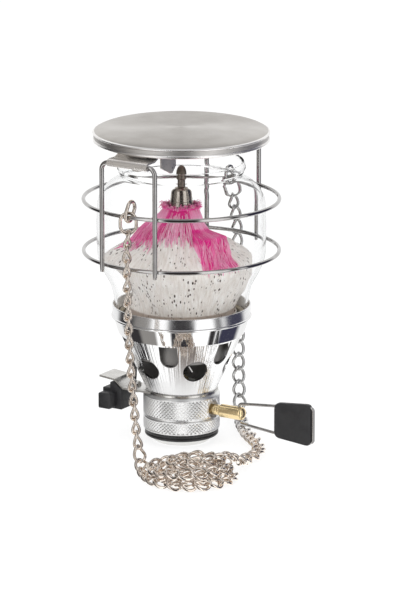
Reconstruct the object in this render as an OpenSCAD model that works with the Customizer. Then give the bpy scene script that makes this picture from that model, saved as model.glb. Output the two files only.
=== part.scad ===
// Gas lantern that screws onto a self-sealing gas canister.
// Millimetres, +Z up. The origin is the centre of the canister thread's mouth, on the standing plane.
// +X is the way the valve spindle points out, and the two frame wires stand at -Y and +Y.

/* [Base and valve body] */
// Diameter of the knurled valve body and connector ring
body_d = 40.4; // [38:0.2:46]
// Diameter of the pale foot
foot_d = 30; // [26:0.5:34]
// Height of the pale foot
foot_h = 3.3; // [2.5:0.1:5]
// Height of the rubber base seal
seal_h = 3.5; // [2.5:0.1:5]
// How far the base seal stands back from the knurled edge
seal_inset = 0.8; // [0.4:0.1:2]
// Height of the connector ring
ring_h = 7.4; // [6:0.1:10]
// Height of the valve body up to the igniter bracket
body_h = 13; // [12:0.1:18]
// Width of the chamfer round the top of the valve body
body_chamfer = 1.6; // [1:0.1:2.5]
// Width of the groove chamfers between the two knurled pieces
groove_chamfer = 0.5; // [0.2:0.1:1]
// Diameter of the bush neck inside the seal and the ring
neck_d = 19; // [16:0.5:22]
// Bore of the canister thread
thread_d = 10.3; // [9.8:0.1:11]
// Length of the canister thread
thread_l = 6; // [5:0.1:6.4]
// Height of the canister seal's seat above the standing plane
thread_depth = 9.4; // [8:0.1:10]
// Diameter of the threaded boss on top of the valve body
boss_d = 15.6; // [13:0.2:18]
// Height of the boss above the valve body
boss_h = 4.2; // [3.5:0.1:6]

/* [Valve spindle and handle] */
// Height of the spindle axis above the underside of the valve body
spindle_rise = 4.9; // [4.6:0.1:6]
// Diameter of the spindle neck
spindle_d = 5.5; // [4.5:0.1:6.5]
// Diameter of the spindle head
spindle_head_d = 7; // [6.8:0.1:9]
// Length of the spindle head
spindle_head_l = 14.6; // [10:0.2:18]
// Distance from the lantern axis to the spindle's outer end
spindle_reach = 38.9; // [36:0.1:46]
// Diameter of the gland recess in the valve body
gland_d = 9.2; // [8.8:0.1:9.4]
// Depth of the gland recess
gland_depth = 8; // [6:0.2:9]
// Distance of the handle pivot from the spindle's outer end
pivot_inset = 3.4; // [2.5:0.1:5]
// Diameter of the handle wire
handle_wire_d = 1.6; // [1.2:0.1:2]
// Length of the handle from its pivot to its outer wire
handle_l = 45; // [38:0.5:55]
// Half the handle's spread at the pivot
handle_spread_in = 5.2; // [4.8:0.1:7]
// Half the handle's spread at its outer end
handle_spread_out = 9.4; // [8:0.1:11]
// Length of the grip
grip_l = 22; // [16:0.5:26]
// Thickness of the grip
grip_t = 3.2; // [2.6:0.1:5]
// How far the grip stands proud of the wire at its edges
grip_margin = 1.2; // [1:0.1:2.5]

/* [Igniter] */
// Thickness of the igniter bracket
plate_t = 1; // [0.8:0.1:1.6]
// Diameter of the bracket's washer
plate_d = 38.6; // [36:0.2:42]
// Width of the bracket arm
arm_w = 14.2; // [12:0.2:16]
// Distance from the lantern axis to the arm's first bend
arm_reach = 25.8; // [25:0.2:30]
// Height that the arm climbs at its crank
arm_rise = 4; // [3:0.2:6]
// Width of the igniter housing along the arm
housing_w = 11.8; // [11:0.2:15]
// Depth of the igniter housing
housing_l = 13.6; // [12:0.2:16]
// Width of the button
button_w = 7.4; // [6:0.2:8]
// Height of the button
button_h = 8.4; // [7:0.2:9]
// How far the button stands out of the housing
button_proud = 6.3; // [5.5:0.1:8]
// Travel of the button
button_travel = 4.5; // [3:0.1:5]
// Diameter of the ignition lead
lead_d = 2.2; // [1.6:0.1:2.6]

/* [Funnel and collar] */
// Diameter of the funnel at its foot
funnel_foot_d = 37.2; // [34:0.2:40]
// Diameter of the funnel under the collar
funnel_top_d = 64.6; // [60:0.2:70]
// Height of the funnel's cone
funnel_h = 30.7; // [26:0.1:36]
// Thickness of the funnel and collar sheet
sheet_t = 0.8; // [0.6:0.1:1.2]
// Number of vents in each row
vent_count = 6; // [4:1:7]
// Diameter of the round vents in the lower row
vent_d = 13; // [9:0.2:14]
// Height of the round vents above the funnel's foot
vent_rise = 14.8; // [12:0.1:18]
// Width of the slots in the upper row
slot_w = 9.8; // [7:0.2:11]
// Space between the globe's foot and the collar's upper band
collar_clear = 1; // [0.6:0.1:4]
// How far the collar's upper band stands out past its lower lip
collar_flare = 3.1; // [2.4:0.1:8]
// Height of the collar's tapered lower band
collar_lower_h = 9; // [8:0.1:12]
// Height of the collar's upper band
collar_upper_h = 6.1; // [4:0.1:9]

/* [Glass globe] */
// Outer diameter of the globe's foot
globe_foot_d = 69.2; // [66:0.2:70]
// Outer diameter of the globe's belly
belly_d = 88.4; // [84:0.2:92]
// Outer diameter of the globe's neck
globe_neck_d = 63.2; // [60:0.2:66]
// Height of the globe from its foot to its lip
globe_h = 81.6; // [76:0.2:88]
// Thickness of the glass
glass_t = 1.8; // [1.4:0.1:2.4]
// How far the lip bead stands out from the neck
lip_proud = 2; // [1.2:0.1:2.6]
// Height of the lip bead
lip_h = 6.2; // [5:0.1:8]

/* [Burner and mantle] */
// Outer diameter of the burner tube
tube_d = 8; // [7:0.2:9]
// Wall of the burner tube
tube_wall = 0.6; // [0.4:0.1:0.8]
// Diameter of the burner bell's foot
bell_d = 13.6; // [12:0.2:15]
// Height of the burner bell
bell_h = 13.6; // [11:0.2:15]
// Height of the burner cap above the bell
acorn_h = 11.2; // [9:0.2:12]
// Diameter of the burner cap
acorn_d = 5.4; // [4.8:0.2:6.4]
// Height of the bell's foot above the collar's rim
bell_rise = 49; // [46:0.2:51]
// Diameter of the ring that holds the mantle's lower hem
mantle_ring_d = 52; // [48:0.5:54]
// Greatest diameter of the mantle
mantle_d = 75; // [72:0.5:76]
// Thickness of the mantle's cloth solid
mantle_t = 1.2; // [0.9:0.1:1.5]
// Number of folds round the mantle
mantle_folds = 9; // [5:1:14]

/* [Cap and guard] */
// Diameter of the top cap
cap_d = 92.4; // [88:0.2:98]
// Height of the cap from its hem to its crown
cap_h = 7; // [6.6:0.1:9]
// Gap from the glass lip up to the cap's hem
cap_lift = 11; // [10.5:0.1:14]
// Thickness of the cap's sheet
cap_t = 0.8; // [0.6:0.1:1.2]
// Width of the bracket strip under the cap
strip_w = 24; // [20:0.5:26]
// Diameter of the frame wires
frame_wire_d = 2.2; // [1.8:0.1:2.6]
// Distance between the legs of a frame wire
frame_w = 32.2; // [29:0.2:36]
// Inner bend radius at the corners of a frame wire
frame_bend = 3; // [2:0.2:5]
// Diameter of the guard rings at the middle of their wire
guard_d = 102; // [98:0.5:108]
// Diameter of the guard ring wire
guard_wire_d = 1.9; // [1.5:0.1:2.4]
// Height of the lower guard ring above the glass foot
guard_low = 34.1; // [30:0.1:38]
// Distance between the two guard rings
guard_gap = 27.5; // [24:0.1:32]
// How far the legs reach below the lower guard ring
leg_tail = 3.4; // [2:0.1:6]

/* [Chain] */
// Distance from one small link to the next
link_pitch = 7.5; // [7.2:0.1:8]
// Outer width of a small link
link_w = 7; // [6.6:0.1:7.2]
// Wire of the small links
link_wire = 1.1; // [0.9:0.05:1.2]
// Twist of a small link from its middle to either end
link_twist = 45; // [35:1:50]
// Length of the end and drop links
big_link_l = 12.2; // [11:0.2:13]
// Width of the drop links
drop_link_w = 9.7; // [9:0.1:10.2]
// Wire of the drop links
drop_link_wire = 1.5; // [1.2:0.1:1.6]
// Width of the end links
end_link_w = 8.4; // [8:0.1:9.4]
// Wire of the end links
end_link_wire = 1.7; // [1.4:0.1:1.8]
// Lean of the end links towards the glass
end_link_lean = 32; // [25:1:40]

/* [Hidden] */

round_fn = 96;
wire_fn = 32;
cut = 0.05;
// Clearances: nested fixed pieces, turning spindle, sliding button, wire against wire
fit_gap = 0.1;
run_gap = 0.08;
slide_gap = 0.2;
wire_gap = 0.15;

// Heights of the stacked pieces
seal_z = foot_h;
ring_z = seal_z + seal_h;
body_z = ring_z + ring_h;
plate_z = body_z + body_h;
funnel_z = plate_z + plate_t;
boss_top = plate_z + boss_h;
spindle_z = body_z + spindle_rise;
collar_lip_z = funnel_z + funnel_h;
funnel_flange_top = collar_lip_z + 1.5;
floor_top = funnel_flange_top + sheet_t;
band_z = collar_lip_z + collar_lower_h;
rim_z = band_z + collar_upper_h;
gasket_t = 0.8;
ledge_top = band_z - 0.2;
globe_z = ledge_top + gasket_t;
lip_z = globe_z + globe_h;
bell_z = rim_z + bell_rise;
bell_top = bell_z + bell_h;
hem_z = lip_z + cap_lift;
crown_z = hem_z + cap_h;
guard_low_z = globe_z + guard_low;
guard_high_z = guard_low_z + guard_gap;

// Radii that several pieces share
body_r = body_d / 2;
bore_r = neck_d / 2 + fit_gap;
guard_r = guard_d / 2;
guard_wire_r = guard_wire_d / 2;
frame_wire_r = frame_wire_d / 2;
leg_x = frame_w / 2;
leg_r = guard_r + guard_wire_r + frame_wire_r + wire_gap;
leg_y = sqrt(leg_r * leg_r - leg_x * leg_x);
neck_r = globe_neck_d / 2;
lip_mid_r = neck_r - glass_t / 2;

function unit(v) = v / norm(v);
function polar(a, r, z) = [r * cos(a), r * sin(a), z];
function level(p, z) = [p[0], p[1], z];
function knot(p, i) = p[max(0, min(len(p) - 1, i))];
// Smooth curve through hand-set points, with n steps from one to the next
function curve_at(a, b, c, d, t) =
    0.5 * (2 * b + (c - a) * t + (2 * a - 5 * b + 4 * c - d) * t * t + (3 * b - 3 * c + d - a) * t * t * t);
function curve(p, n) = concat(
    [for (i = [0 : len(p) - 2], k = [0 : n - 1])
        curve_at(knot(p, i - 1), p[i], p[i + 1], knot(p, i + 2), k / n)],
    [p[len(p) - 1]]);
// Arc of points in a plane
function arc(c, r, from, to, n) = [for (k = [0 : n]) let(a = from + (to - from) * k / n)
    [c[0] + r * cos(a), c[1] + r * sin(a)]];
// Points of an open outline moved sideways, to the left of its direction
function beside(p, d) = [for (i = [0 : len(p) - 1]) let(v = unit(knot(p, i + 1) - knot(p, i - 1)))
    p[i] + d * [-v[1], v[0]]];
function reversed(p) = [for (i = [len(p) - 1 : -1 : 0]) p[i]];

module turned(outline) {
    rotate_extrude($fn = round_fn) polygon(outline);
}

module ring(outer_r, inner_r, z, h) {
    translate([0, 0, z]) difference() {
        cylinder(r = outer_r, h = h, $fn = round_fn);
        translate([0, 0, -cut]) cylinder(r = inner_r, h = h + 2 * cut, $fn = round_fn);
    }
}

module torus(major, minor, z) {
    translate([0, 0, z]) rotate_extrude($fn = round_fn) translate([major, 0])
        circle(r = minor, $fn = wire_fn);
}

// Round wire in the XY plane: straight lengths joined by round bends
function turn_at(p, i) = let(u = p[i] - p[i - 1], v = p[i + 1] - p[i])
    atan2(u[0] * v[1] - u[1] * v[0], u * v);
function setback(p, i, bend) = i == 0 || i == len(p) - 1 ? 0 : bend * tan(abs(turn_at(p, i)) / 2);

module bent_wire(p, d, bend) {
    for (i = [0 : len(p) - 2]) {
        v = unit(p[i + 1] - p[i]);
        from = p[i] + v * setback(p, i, bend);
        to = p[i + 1] - v * setback(p, i + 1, bend);
        translate(from) rotate([0, 90, atan2(v[1], v[0])])
            cylinder(d = d, h = norm(to - from), $fn = wire_fn);
    }
    for (i = [1 : len(p) - 2]) {
        u = unit(p[i] - p[i - 1]);
        side = sign(turn_at(p, i));
        from = p[i] - u * setback(p, i, bend);
        centre = from + side * bend * [-u[1], u[0]];
        start = atan2(from[1] - centre[1], from[0] - centre[0]);
        translate(centre) rotate(side > 0 ? start : start + turn_at(p, i))
            rotate_extrude(angle = abs(turn_at(p, i)), $fn = round_fn) translate([bend, 0])
                circle(d = d, $fn = wire_fn);
    }
}

// Oval link of round wire, standing in the XZ plane
module oval_link(l, w, wire) {
    bow = (w - wire) / 2;
    side = (l - w) / 2;
    rotate([90, 0, 0]) for (end = [0, 180]) rotate(end) {
        translate([0, side]) rotate_extrude(angle = 180, $fn = round_fn) translate([bow, 0])
            circle(d = wire, $fn = wire_fn);
        translate([bow, -side]) rotate([-90, 0, 0]) cylinder(d = wire, h = 2 * side, $fn = wire_fn);
    }
}

// Tube swept along a curve, with round sections square to it
function swept_normals(p, i, n) = i >= len(p) ? [] :
    let(t = unit(knot(p, i + 1) - knot(p, i - 1)), m = unit(n - (n * t) * t))
    concat([m], swept_normals(p, i + 1, m));

module swept_tube(p, r, sides, first_normal) {
    normals = swept_normals(p, 0, first_normal);
    last = len(p) - 1;
    points = [for (i = [0 : last]) let(t = unit(knot(p, i + 1) - knot(p, i - 1)), b = cross(t, normals[i]))
        for (k = [0 : sides - 1]) let(a = 360 * k / sides) p[i] + r * (cos(a) * normals[i] + sin(a) * b)];
    walls = [for (i = [0 : last - 1], k = [0 : sides - 1]) let(j = (k + 1) % sides)
        each [[i * sides + k, (i + 1) * sides + k, i * sides + j],
            [i * sides + j, (i + 1) * sides + k, (i + 1) * sides + j]]];
    ends = [[for (k = [0 : sides - 1]) k], [for (k = [sides - 1 : -1 : 0]) last * sides + k]];
    polyhedron(points, concat(walls, ends));
}

// Base and valve body
bush_top = ring_z + ring_h - 0.3;
seat_h = 1.8;
seat_top = thread_depth + seat_h;
port_r = 0.7;
port_x = -2.6;

module thread_bush() {
    edge = 0.6;
    relief = 0.8;
    foot_r = foot_d / 2;
    color("gainsboro") difference() {
        turned([[0, 0], [foot_r - edge, 0], [foot_r, edge], [foot_r, foot_h], [neck_d / 2, foot_h],
            [neck_d / 2, bush_top], [0, bush_top]]);
        translate([0, 0, -cut]) cylinder(d = thread_d, h = seat_top, $fn = round_fn);
        translate([0, 0, thread_l]) cylinder(d = thread_d + relief, h = seat_top - thread_l, $fn = round_fn);
        translate([port_x, 0, seat_top - cut])
            cylinder(r = port_r, h = bush_top - seat_top + 2 * cut, $fn = wire_fn);
    }
}

module canister_seal() {
    seal_r = seat_h / 2 - fit_gap / 2;
    color("dimgray") torus(thread_d / 2 - fit_gap - seal_r, seal_r, seat_top - fit_gap / 2 - seal_r);
}

module valve_pin() {
    pin_l = 4.6;
    color("goldenrod") translate([0, 0, seat_top - pin_l])
        turned([[0, 0], [0.7, 0], [1, 0.4], [1, pin_l], [0, pin_l]]);
}

module base_seal() {
    seal_r = body_r - seal_inset;
    edge = 0.5;
    color("black") turned([[bore_r, seal_z], [seal_r - edge, seal_z], [seal_r, seal_z + edge],
        [seal_r, ring_z], [bore_r, ring_z]]);
}

module connector_ring() {
    c = groove_chamfer;
    color("silver") turned([[bore_r, ring_z], [body_r - c, ring_z], [body_r, ring_z + c],
        [body_r, body_z - c], [body_r - c, body_z], [bore_r, body_z]]);
}

chamber_r = spindle_d / 2 + run_gap;
chamber_x = 2.5;
gland_x = sqrt(body_r * body_r - gland_d * gland_d / 4) - gland_depth;
jet_d = 6;
jet_depth = 5.5;

module valve_body() {
    c = groove_chamfer;
    boss_r = boss_d / 2;
    color("silver") difference() {
        turned([[0, body_z], [body_r - c, body_z], [body_r, body_z + c], [body_r, plate_z - body_chamfer],
            [body_r - body_chamfer, plate_z], [boss_r, plate_z], [boss_r, boss_top - c],
                [boss_r - c, boss_top],
            [0, boss_top]]);
        translate([chamber_x, 0, spindle_z]) rotate([0, 90, 0])
            cylinder(r = chamber_r, h = body_r, $fn = round_fn);
        translate([gland_x, 0, spindle_z]) rotate([0, 90, 0])
            cylinder(d = gland_d, h = body_r, $fn = round_fn);
        translate([0, 0, boss_top - jet_depth])
            cylinder(d = jet_d + 2 * fit_gap, h = jet_depth + cut, $fn = round_fn);
        translate([port_x, 0, body_z - cut]) cylinder(r = port_r, h = spindle_rise, $fn = wire_fn);
        translate([port_x, 0, spindle_z]) rotate([0, 90, 0])
            cylinder(r = port_r, h = chamber_x - port_x + cut, $fn = wire_fn);
        translate([chamber_x + 1, 0, spindle_z])
            cylinder(r = port_r, h = boss_top - jet_depth - spindle_z + cut, $fn = wire_fn);
    }
}

// Gas jet in the boss and the nut that clamps funnel and bracket
jet_hex = 7;
jet_hex_h = 1.8;
jet_tip_h = 3.8;

module gas_jet() {
    orifice_r = 0.4;
    color("goldenrod") difference() {
        union() {
            translate([0, 0, boss_top - jet_depth + fit_gap])
                cylinder(d = jet_d, h = jet_depth - fit_gap, $fn = round_fn);
            translate([0, 0, boss_top]) cylinder(d = jet_hex / cos(30), h = jet_hex_h, $fn = 6);
            translate([0, 0, boss_top + jet_hex_h - cut])
                cylinder(d1 = jet_d - 1, d2 = jet_d - 3, h = jet_tip_h - jet_hex_h + cut, $fn = round_fn);
        }
        translate([0, 0, boss_top - jet_depth])
            cylinder(r = orifice_r, h = jet_depth + jet_tip_h + cut, $fn = wire_fn);
    }
}

nut_z = funnel_z + sheet_t;
nut_flats = boss_d + 6;

module funnel_nut() {
    color("silver") translate([0, 0, nut_z]) difference() {
        cylinder(d = nut_flats / cos(30), h = boss_top - nut_z, $fn = 6);
        translate([0, 0, -cut]) cylinder(d = boss_d + 2 * fit_gap, h = boss_h, $fn = round_fn);
    }
}

// Valve spindle, gland and handle
gland_l = gland_depth - 2.2;
gland_pocket_r = chamber_r + 1;
gland_pocket_l = 1.5;
pivot_x = spindle_reach - pivot_inset;
pivot_hole_r = handle_wire_d / 2 + run_gap;

module gland_nut() {
    outer = gland_d / 2 - fit_gap;
    edge = 0.5;
    color("darkgoldenrod") translate([gland_x, 0, spindle_z]) rotate([0, 90, 0])
        turned([[gland_pocket_r, 0], [outer, 0], [outer, gland_l - edge], [outer - edge, gland_l],
            [chamber_r, gland_l], [chamber_r, gland_pocket_l], [gland_pocket_r, gland_pocket_l]]);
}

module spindle_seal() {
    seal_r = (gland_pocket_r - spindle_d / 2 - run_gap - fit_gap) / 2;
    color("black") translate([gland_x + fit_gap / 2 + seal_r, 0, spindle_z]) rotate([0, 90, 0])
        torus(spindle_d / 2 + run_gap + seal_r, seal_r, 0);
}

module valve_spindle() {
    r = spindle_d / 2;
    head_r = spindle_head_d / 2;
    head_x = spindle_reach - spindle_head_l;
    needle_x = chamber_x + 1.5;
    needle_l = 3;
    tip_r = 0.5;
    groove = 0.35;
    edge = 0.7;
    color("gold") difference() {
        translate([0, 0, spindle_z]) rotate([0, 90, 0])
            turned([[0, needle_x], [tip_r, needle_x], [r - edge, needle_x + needle_l],
                [r, needle_x + needle_l],
                [r, head_x - 2 * edge], [r - groove, head_x - edge], [r - groove, head_x],
                [head_r - edge, head_x], [head_r, head_x + edge], [head_r, spindle_reach - edge],
                [head_r - edge, spindle_reach], [0, spindle_reach]]);
        translate([pivot_x, 0, spindle_z - spindle_head_d])
            cylinder(r = pivot_hole_r, h = 2 * spindle_head_d, $fn = wire_fn);
    }
}

handle_bend = handle_wire_d;
handle_end_x = pivot_x + handle_l;
pin_in = 1.2;

// Handle outline in its own plane, from one pivot pin round to the other
function handle_points() = [[pivot_x, pin_in], [pivot_x, handle_spread_in], [handle_end_x, handle_spread_out],
    [handle_end_x, -handle_spread_out], [pivot_x, -handle_spread_in], [pivot_x, -pin_in]];
function spread_at(x) = handle_spread_in + (handle_spread_out - handle_spread_in) * (x - pivot_x) / handle_l;
// Corner of the handle, rounded between its two straight lengths
function handle_corner(a, b, c, n) = let(u = unit(b - a), v = unit(c - b), back = handle_bend)
    [for (k = [0 : n]) let(t = k / n) (1 - t) * (1 - t) * (b - back * u) + 2 * t * (1 - t) * b
        + t * t * (b + back * v)];
function handle_loop(p) = concat([p[0]],
    [for (i = [1 : len(p) - 2]) each handle_corner(p[i - 1], p[i], p[i + 1], 4)],
    [p[len(p) - 1]]);

module handle_plane() {
    translate([0, 0, spindle_z]) rotate([90, 0, 0]) children();
}

module handle_wire() {
    sides = 12;
    color("silver") handle_plane()
        swept_tube([for (p = handle_loop(handle_points())) [p[0], p[1], 0]], handle_wire_d / 2, sides,
            [0, 0, 1]);
}

grip_far_x = handle_end_x - handle_wire_d / 2 - slide_gap;
grip_near_x = grip_far_x - grip_l;
wire_cover = handle_wire_d / 2 + grip_margin;

// Grip plate with chamfered corners and a raised frame, moulded over the two wires
module grip_outline(inset) {
    near = grip_near_x + inset;
    far = grip_far_x - inset;
    near_h = spread_at(grip_near_x) + wire_cover - inset;
    far_h = spread_at(grip_far_x) + wire_cover - inset;
    corner = 2.4;
    polygon([[near, -near_h + corner], [near + corner, -near_h], [far - corner, -far_h],
        [far, -far_h + corner],
        [far, far_h - corner], [far - corner, far_h], [near + corner, near_h], [near, near_h - corner]]);
}

module handle_grip() {
    frame = 1.6;
    sunk = 0.4;
    color("black") difference() {
        handle_plane() translate([0, 0, -grip_t / 2]) linear_extrude(grip_t) grip_outline(0);
        handle_plane() for (side = [-1, 1]) translate([0, 0, side * grip_t - sunk * side - grip_t / 2])
            linear_extrude(grip_t) grip_outline(frame);
        handle_plane() for (side = [-1, 1]) translate([pivot_x, side * handle_spread_in, 0])
            rotate([0, 90, side * atan((handle_spread_out - handle_spread_in) / handle_l)])
                cylinder(d = handle_wire_d + 2 * fit_gap, h = 2 * handle_l, $fn = wire_fn);
    }
}

// Igniter bracket, housing and button
arm_near_y = -17.4;
arm_mid_y = arm_near_y + arm_w / 2;
crank_l = 5;
tip_l = 9.4;
tip_rise = 0.9;
arm_bend_x = -arm_reach;
arm_top_x = arm_bend_x - crank_l;
arm_tip_x = arm_top_x - tip_l;
screw_x = -arm_reach + 3.2;
screw_y = -7.6;
screw_d = 2.4;

// Arm in the XZ plane: level, cranked up, then nearly level to its tip
function arm_line() = [[0, plate_z], [arm_bend_x, plate_z], [arm_top_x, plate_z + arm_rise],
    [arm_tip_x, plate_z + arm_rise + tip_rise]];

module igniter_bracket() {
    under = arm_line();
    over = [for (p = under) [p[0], p[1] + plate_t]];
    color("lightgray") difference() {
        union() {
            translate([0, 0, plate_z]) cylinder(d = plate_d, h = plate_t, $fn = round_fn);
            translate([0, arm_near_y + arm_w, 0]) rotate([90, 0, 0]) linear_extrude(arm_w)
                polygon(concat(under, reversed(over)));
        }
        translate([0, 0, plate_z - cut])
            cylinder(d = boss_d + 2 * fit_gap, h = plate_t + 2 * cut, $fn = round_fn);
        translate([screw_x, screw_y, plate_z - cut])
            cylinder(d = screw_d + 2 * fit_gap, h = plate_t + 2 * cut, $fn = wire_fn);
    }
}

module bracket_screw() {
    head_r = 2.2;
    head_h = 1.8;
    shank = 4.2;
    color("tan") translate([screw_x, screw_y, funnel_z - shank])
        turned([[0, 0], [screw_d / 2, 0], [screw_d / 2, shank], [head_r, shank], [head_r, shank + head_h / 2],
            [head_r - 0.7, shank + head_h], [0, shank + head_h]]);
}

module bracket_nut() {
    nut_h = 2;
    color("silver") translate([screw_x, screw_y, plate_z - nut_h]) difference() {
        cylinder(d = 4.6, h = nut_h, $fn = 6);
        translate([0, 0, -cut]) cylinder(d = screw_d + 2 * fit_gap, h = nut_h + 2 * cut, $fn = wire_fn);
    }
}

housing_gap = 0.3;
housing_right = arm_bend_x - housing_gap;
housing_left = housing_right - housing_w;
housing_front = arm_near_y - 0.3;
housing_back = housing_front + housing_l;
pocket_wall = 0.9;
button_left = housing_left + pocket_wall + slide_gap;
pocket_roof = 1.2;
housing_top = plate_z - housing_gap;
button_top = housing_top - pocket_roof - slide_gap;
button_z = button_top - button_h;
housing_z = button_z - slide_gap - pocket_wall;
button_tail = 5.8;
pocket_depth = button_tail + button_travel + slide_gap;
lead_x = arm_top_x + 1;
lead_z = housing_top - 2.4;

module igniter_housing() {
    climb = (plate_z + arm_rise - housing_gap - 0.6) - housing_top;
    step_x = arm_top_x - 2.6;
    color("black") difference() {
        translate([0, housing_back, 0]) rotate([90, 0, 0]) linear_extrude(housing_l)
            polygon([[housing_right, housing_z], [housing_right, housing_top],
                [arm_top_x, housing_top + climb],
                [step_x, housing_top + climb], [step_x, housing_top], [housing_left, housing_top],
                [housing_left, housing_z]]);
        translate([button_left - slide_gap, housing_front - cut, button_z - slide_gap])
            cube([button_w + 2 * slide_gap, pocket_depth + cut, button_h + 2 * slide_gap]);
    }
}

module igniter_button() {
    edge = 0.8;
    dimple_r = 2.2;
    dimple = 0.4;
    front = housing_front - button_proud;
    button_l = button_proud + button_tail;
    color("black") difference() {
        translate([button_left, front + button_l, button_z]) rotate([90, 0, 0]) linear_extrude(button_l)
            polygon([[edge, 0], [button_w - edge, 0], [button_w, edge], [button_w, button_h - edge],
                [button_w - edge, button_h], [edge, button_h], [0, button_h - edge], [0, edge]]);
        translate([button_left + button_w / 2, front + dimple, button_z + button_h / 2]) rotate([90, 0, 0])
            cylinder(r = dimple_r, h = 2 * dimple, $fn = wire_fn);
    }
}

// Electrode and the lead that feeds it through a vent
electrode_x = -13;
electrode_y = -5;
insulator_r = 2;
rod_r = 0.6;
insulator_foot = floor_top - 7;
rod_foot = insulator_foot - 4;

module electrode_insulator() {
    tall = 18;
    flange = 3.2;
    color("ivory") translate([electrode_x, electrode_y, 0]) difference() {
        union() {
            translate([0, 0, insulator_foot]) cylinder(r = insulator_r, h = tall, $fn = wire_fn);
            translate([0, 0, floor_top]) cylinder(r = flange, h = 1.4, $fn = wire_fn);
        }
        translate([0, 0, insulator_foot - cut])
            cylinder(r = rod_r + fit_gap, h = tall + 2 * cut, $fn = wire_fn);
    }
}

module electrode_rod() {
    tall = 33;
    color("gray") translate([electrode_x, electrode_y, rod_foot])
        cylinder(r = rod_r, h = tall, $fn = wire_fn);
}

// Route of the lead from the back of the housing, up past the arm and in through a vent
lead_route = [[lead_x, housing_back, lead_z], [lead_x, housing_back + 1, lead_z],
    [lead_x, housing_back + 2, lead_z], [-30, 0.8, 28],
    [-29.5, 0.6, 34], [-27.5, -3.5, 40], [-23.2, -8, 43], [-17, -8, 44.5], [-13.4, -5.6, 47],
    [electrode_x, electrode_y, rod_foot - 2.2], [electrode_x, electrode_y, rod_foot]];

module ignition_lead() {
    color("black") swept_tube(curve(lead_route, 3), lead_d / 2, 8, [1, 0, 0.2]);
}

// Vent funnel and collar
funnel_slope = (funnel_top_d - funnel_foot_d) / 2 / funnel_h;
vent_first = -41;
vent_step = 360 / vent_count;
flange_gap = 0.2;
collar_lip_r = funnel_top_d / 2 + sheet_t + flange_gap;

function funnel_r(z) = funnel_foot_d / 2 + (z - funnel_z) * funnel_slope;

// Places children on the cone, with +Z square to its surface and +X running down it
module on_cone(angle, z) {
    rotate(angle) translate([funnel_r(z), 0, z]) rotate([0, 90 + atan(funnel_slope), 0]) children();
}

module vent_funnel() {
    foot_r = funnel_foot_d / 2;
    top_r = funnel_top_d / 2;
    hole_r = boss_d / 2 + fit_gap;
    reach = 5;
    slot_low = collar_lip_z - 9;
    color("gainsboro") difference() {
        turned([[hole_r, funnel_z], [foot_r, funnel_z], [top_r, collar_lip_z], [top_r, funnel_flange_top],
            [top_r - 4, funnel_flange_top], [top_r - 4, funnel_flange_top - sheet_t],
            [top_r - sheet_t, funnel_flange_top - sheet_t], [top_r - sheet_t, collar_lip_z],
            [foot_r - sheet_t, funnel_z + sheet_t], [hole_r, funnel_z + sheet_t]]);
        for (i = [0 : vent_count - 1]) {
            on_cone(vent_first + i * vent_step, funnel_z + vent_rise) translate([0, 0, -reach])
                cylinder(d = vent_d, h = 2 * reach, $fn = round_fn);
            on_cone(vent_first + (i + 0.5) * vent_step, slot_low) translate([0, 0, -reach]) {
                cylinder(d = slot_w, h = 2 * reach, $fn = round_fn);
                translate([-8.6, -slot_w / 2, 0]) cube([8.6, slot_w, 2 * reach]);
            }
        }
    }
}

collar_r = max(globe_foot_d / 2 + collar_clear + sheet_t, collar_lip_r + collar_flare);
ledge_in_r = globe_foot_d / 2 - 4;

module globe_collar() {
    t = sheet_t;
    air_r = 3;
    air_ring = mantle_ring_d / 2 - 8;
    bead = 0.4;
    taper_in = collar_lip_r - t;
    color("gainsboro") difference() {
        turned([[tube_d / 2 + fit_gap, funnel_flange_top], [taper_in + t / 2, funnel_flange_top],
            [taper_in, collar_lip_z],
            [collar_lip_r, collar_lip_z], [collar_r - t, band_z - t], [collar_r + bead, band_z - bead],
            [collar_r + bead, band_z], [collar_r, band_z + bead], [collar_r, rim_z - bead],
            [collar_r - bead, rim_z], [collar_r - t, rim_z], [collar_r - t, ledge_top],
                [ledge_in_r, ledge_top],
            [ledge_in_r, ledge_top - t], [collar_r - 2.4 * t, ledge_top - t], [taper_in + t, floor_top],
            [tube_d / 2 + fit_gap, floor_top]]);
        for (i = [0 : 5]) rotate(60 * i + 30) translate([air_ring, 0, funnel_flange_top - cut])
            cylinder(r = air_r, h = t + 2 * cut, $fn = wire_fn);
        translate([electrode_x, electrode_y, funnel_flange_top - cut])
            cylinder(r = insulator_r + fit_gap, h = t + 2 * cut, $fn = wire_fn);
    }
}

module globe_gasket() {
    color("tan") ring(globe_foot_d / 2 + 0.4, ledge_in_r + 0.6, ledge_top, gasket_t);
}

// Glass globe: wall outline from foot to neck, then the lip bead
function globe_side() = let(belly_r = belly_d / 2, foot_r = globe_foot_d / 2, h = globe_h - lip_h - 1.4)
    [[foot_r, 0], [foot_r + 0.3, 0.075 * h], [foot_r + 2.2, 0.21 * h], [belly_r - 3, 0.325 * h],
        [belly_r - 0.4, 0.43 * h], [belly_r, 0.6 * h], [belly_r - 0.4, 0.8 * h], [belly_r - 2.6, 0.885 * h],
        [0.5 * (belly_r + neck_r) - 0.4, 0.945 * h], [neck_r + 0.6, 0.985 * h], [neck_r, h]];

module glass_globe() {
    side = curve(globe_side(), 3);
    lip_foot = globe_h - lip_h;
    bead_r = lip_h / 2;
    inner = [for (p = beside(side, glass_t)) if (p[1] > 1 && p[0] > neck_r - glass_t + 0.4) p];
    bead = [for (a = [-70 : 20 : 90]) [neck_r + lip_proud * cos(a), lip_foot + bead_r + bead_r * sin(a)]];
    color("lightcyan", 0.4) translate([0, 0, globe_z])
        turned(concat(side, bead, [[neck_r - glass_t + 0.6, globe_h], [neck_r - glass_t, globe_h - 0.8],
            [neck_r - glass_t, lip_foot - 1.2]], reversed(inner), [[globe_foot_d / 2 - glass_t, 0]]));
}

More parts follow.
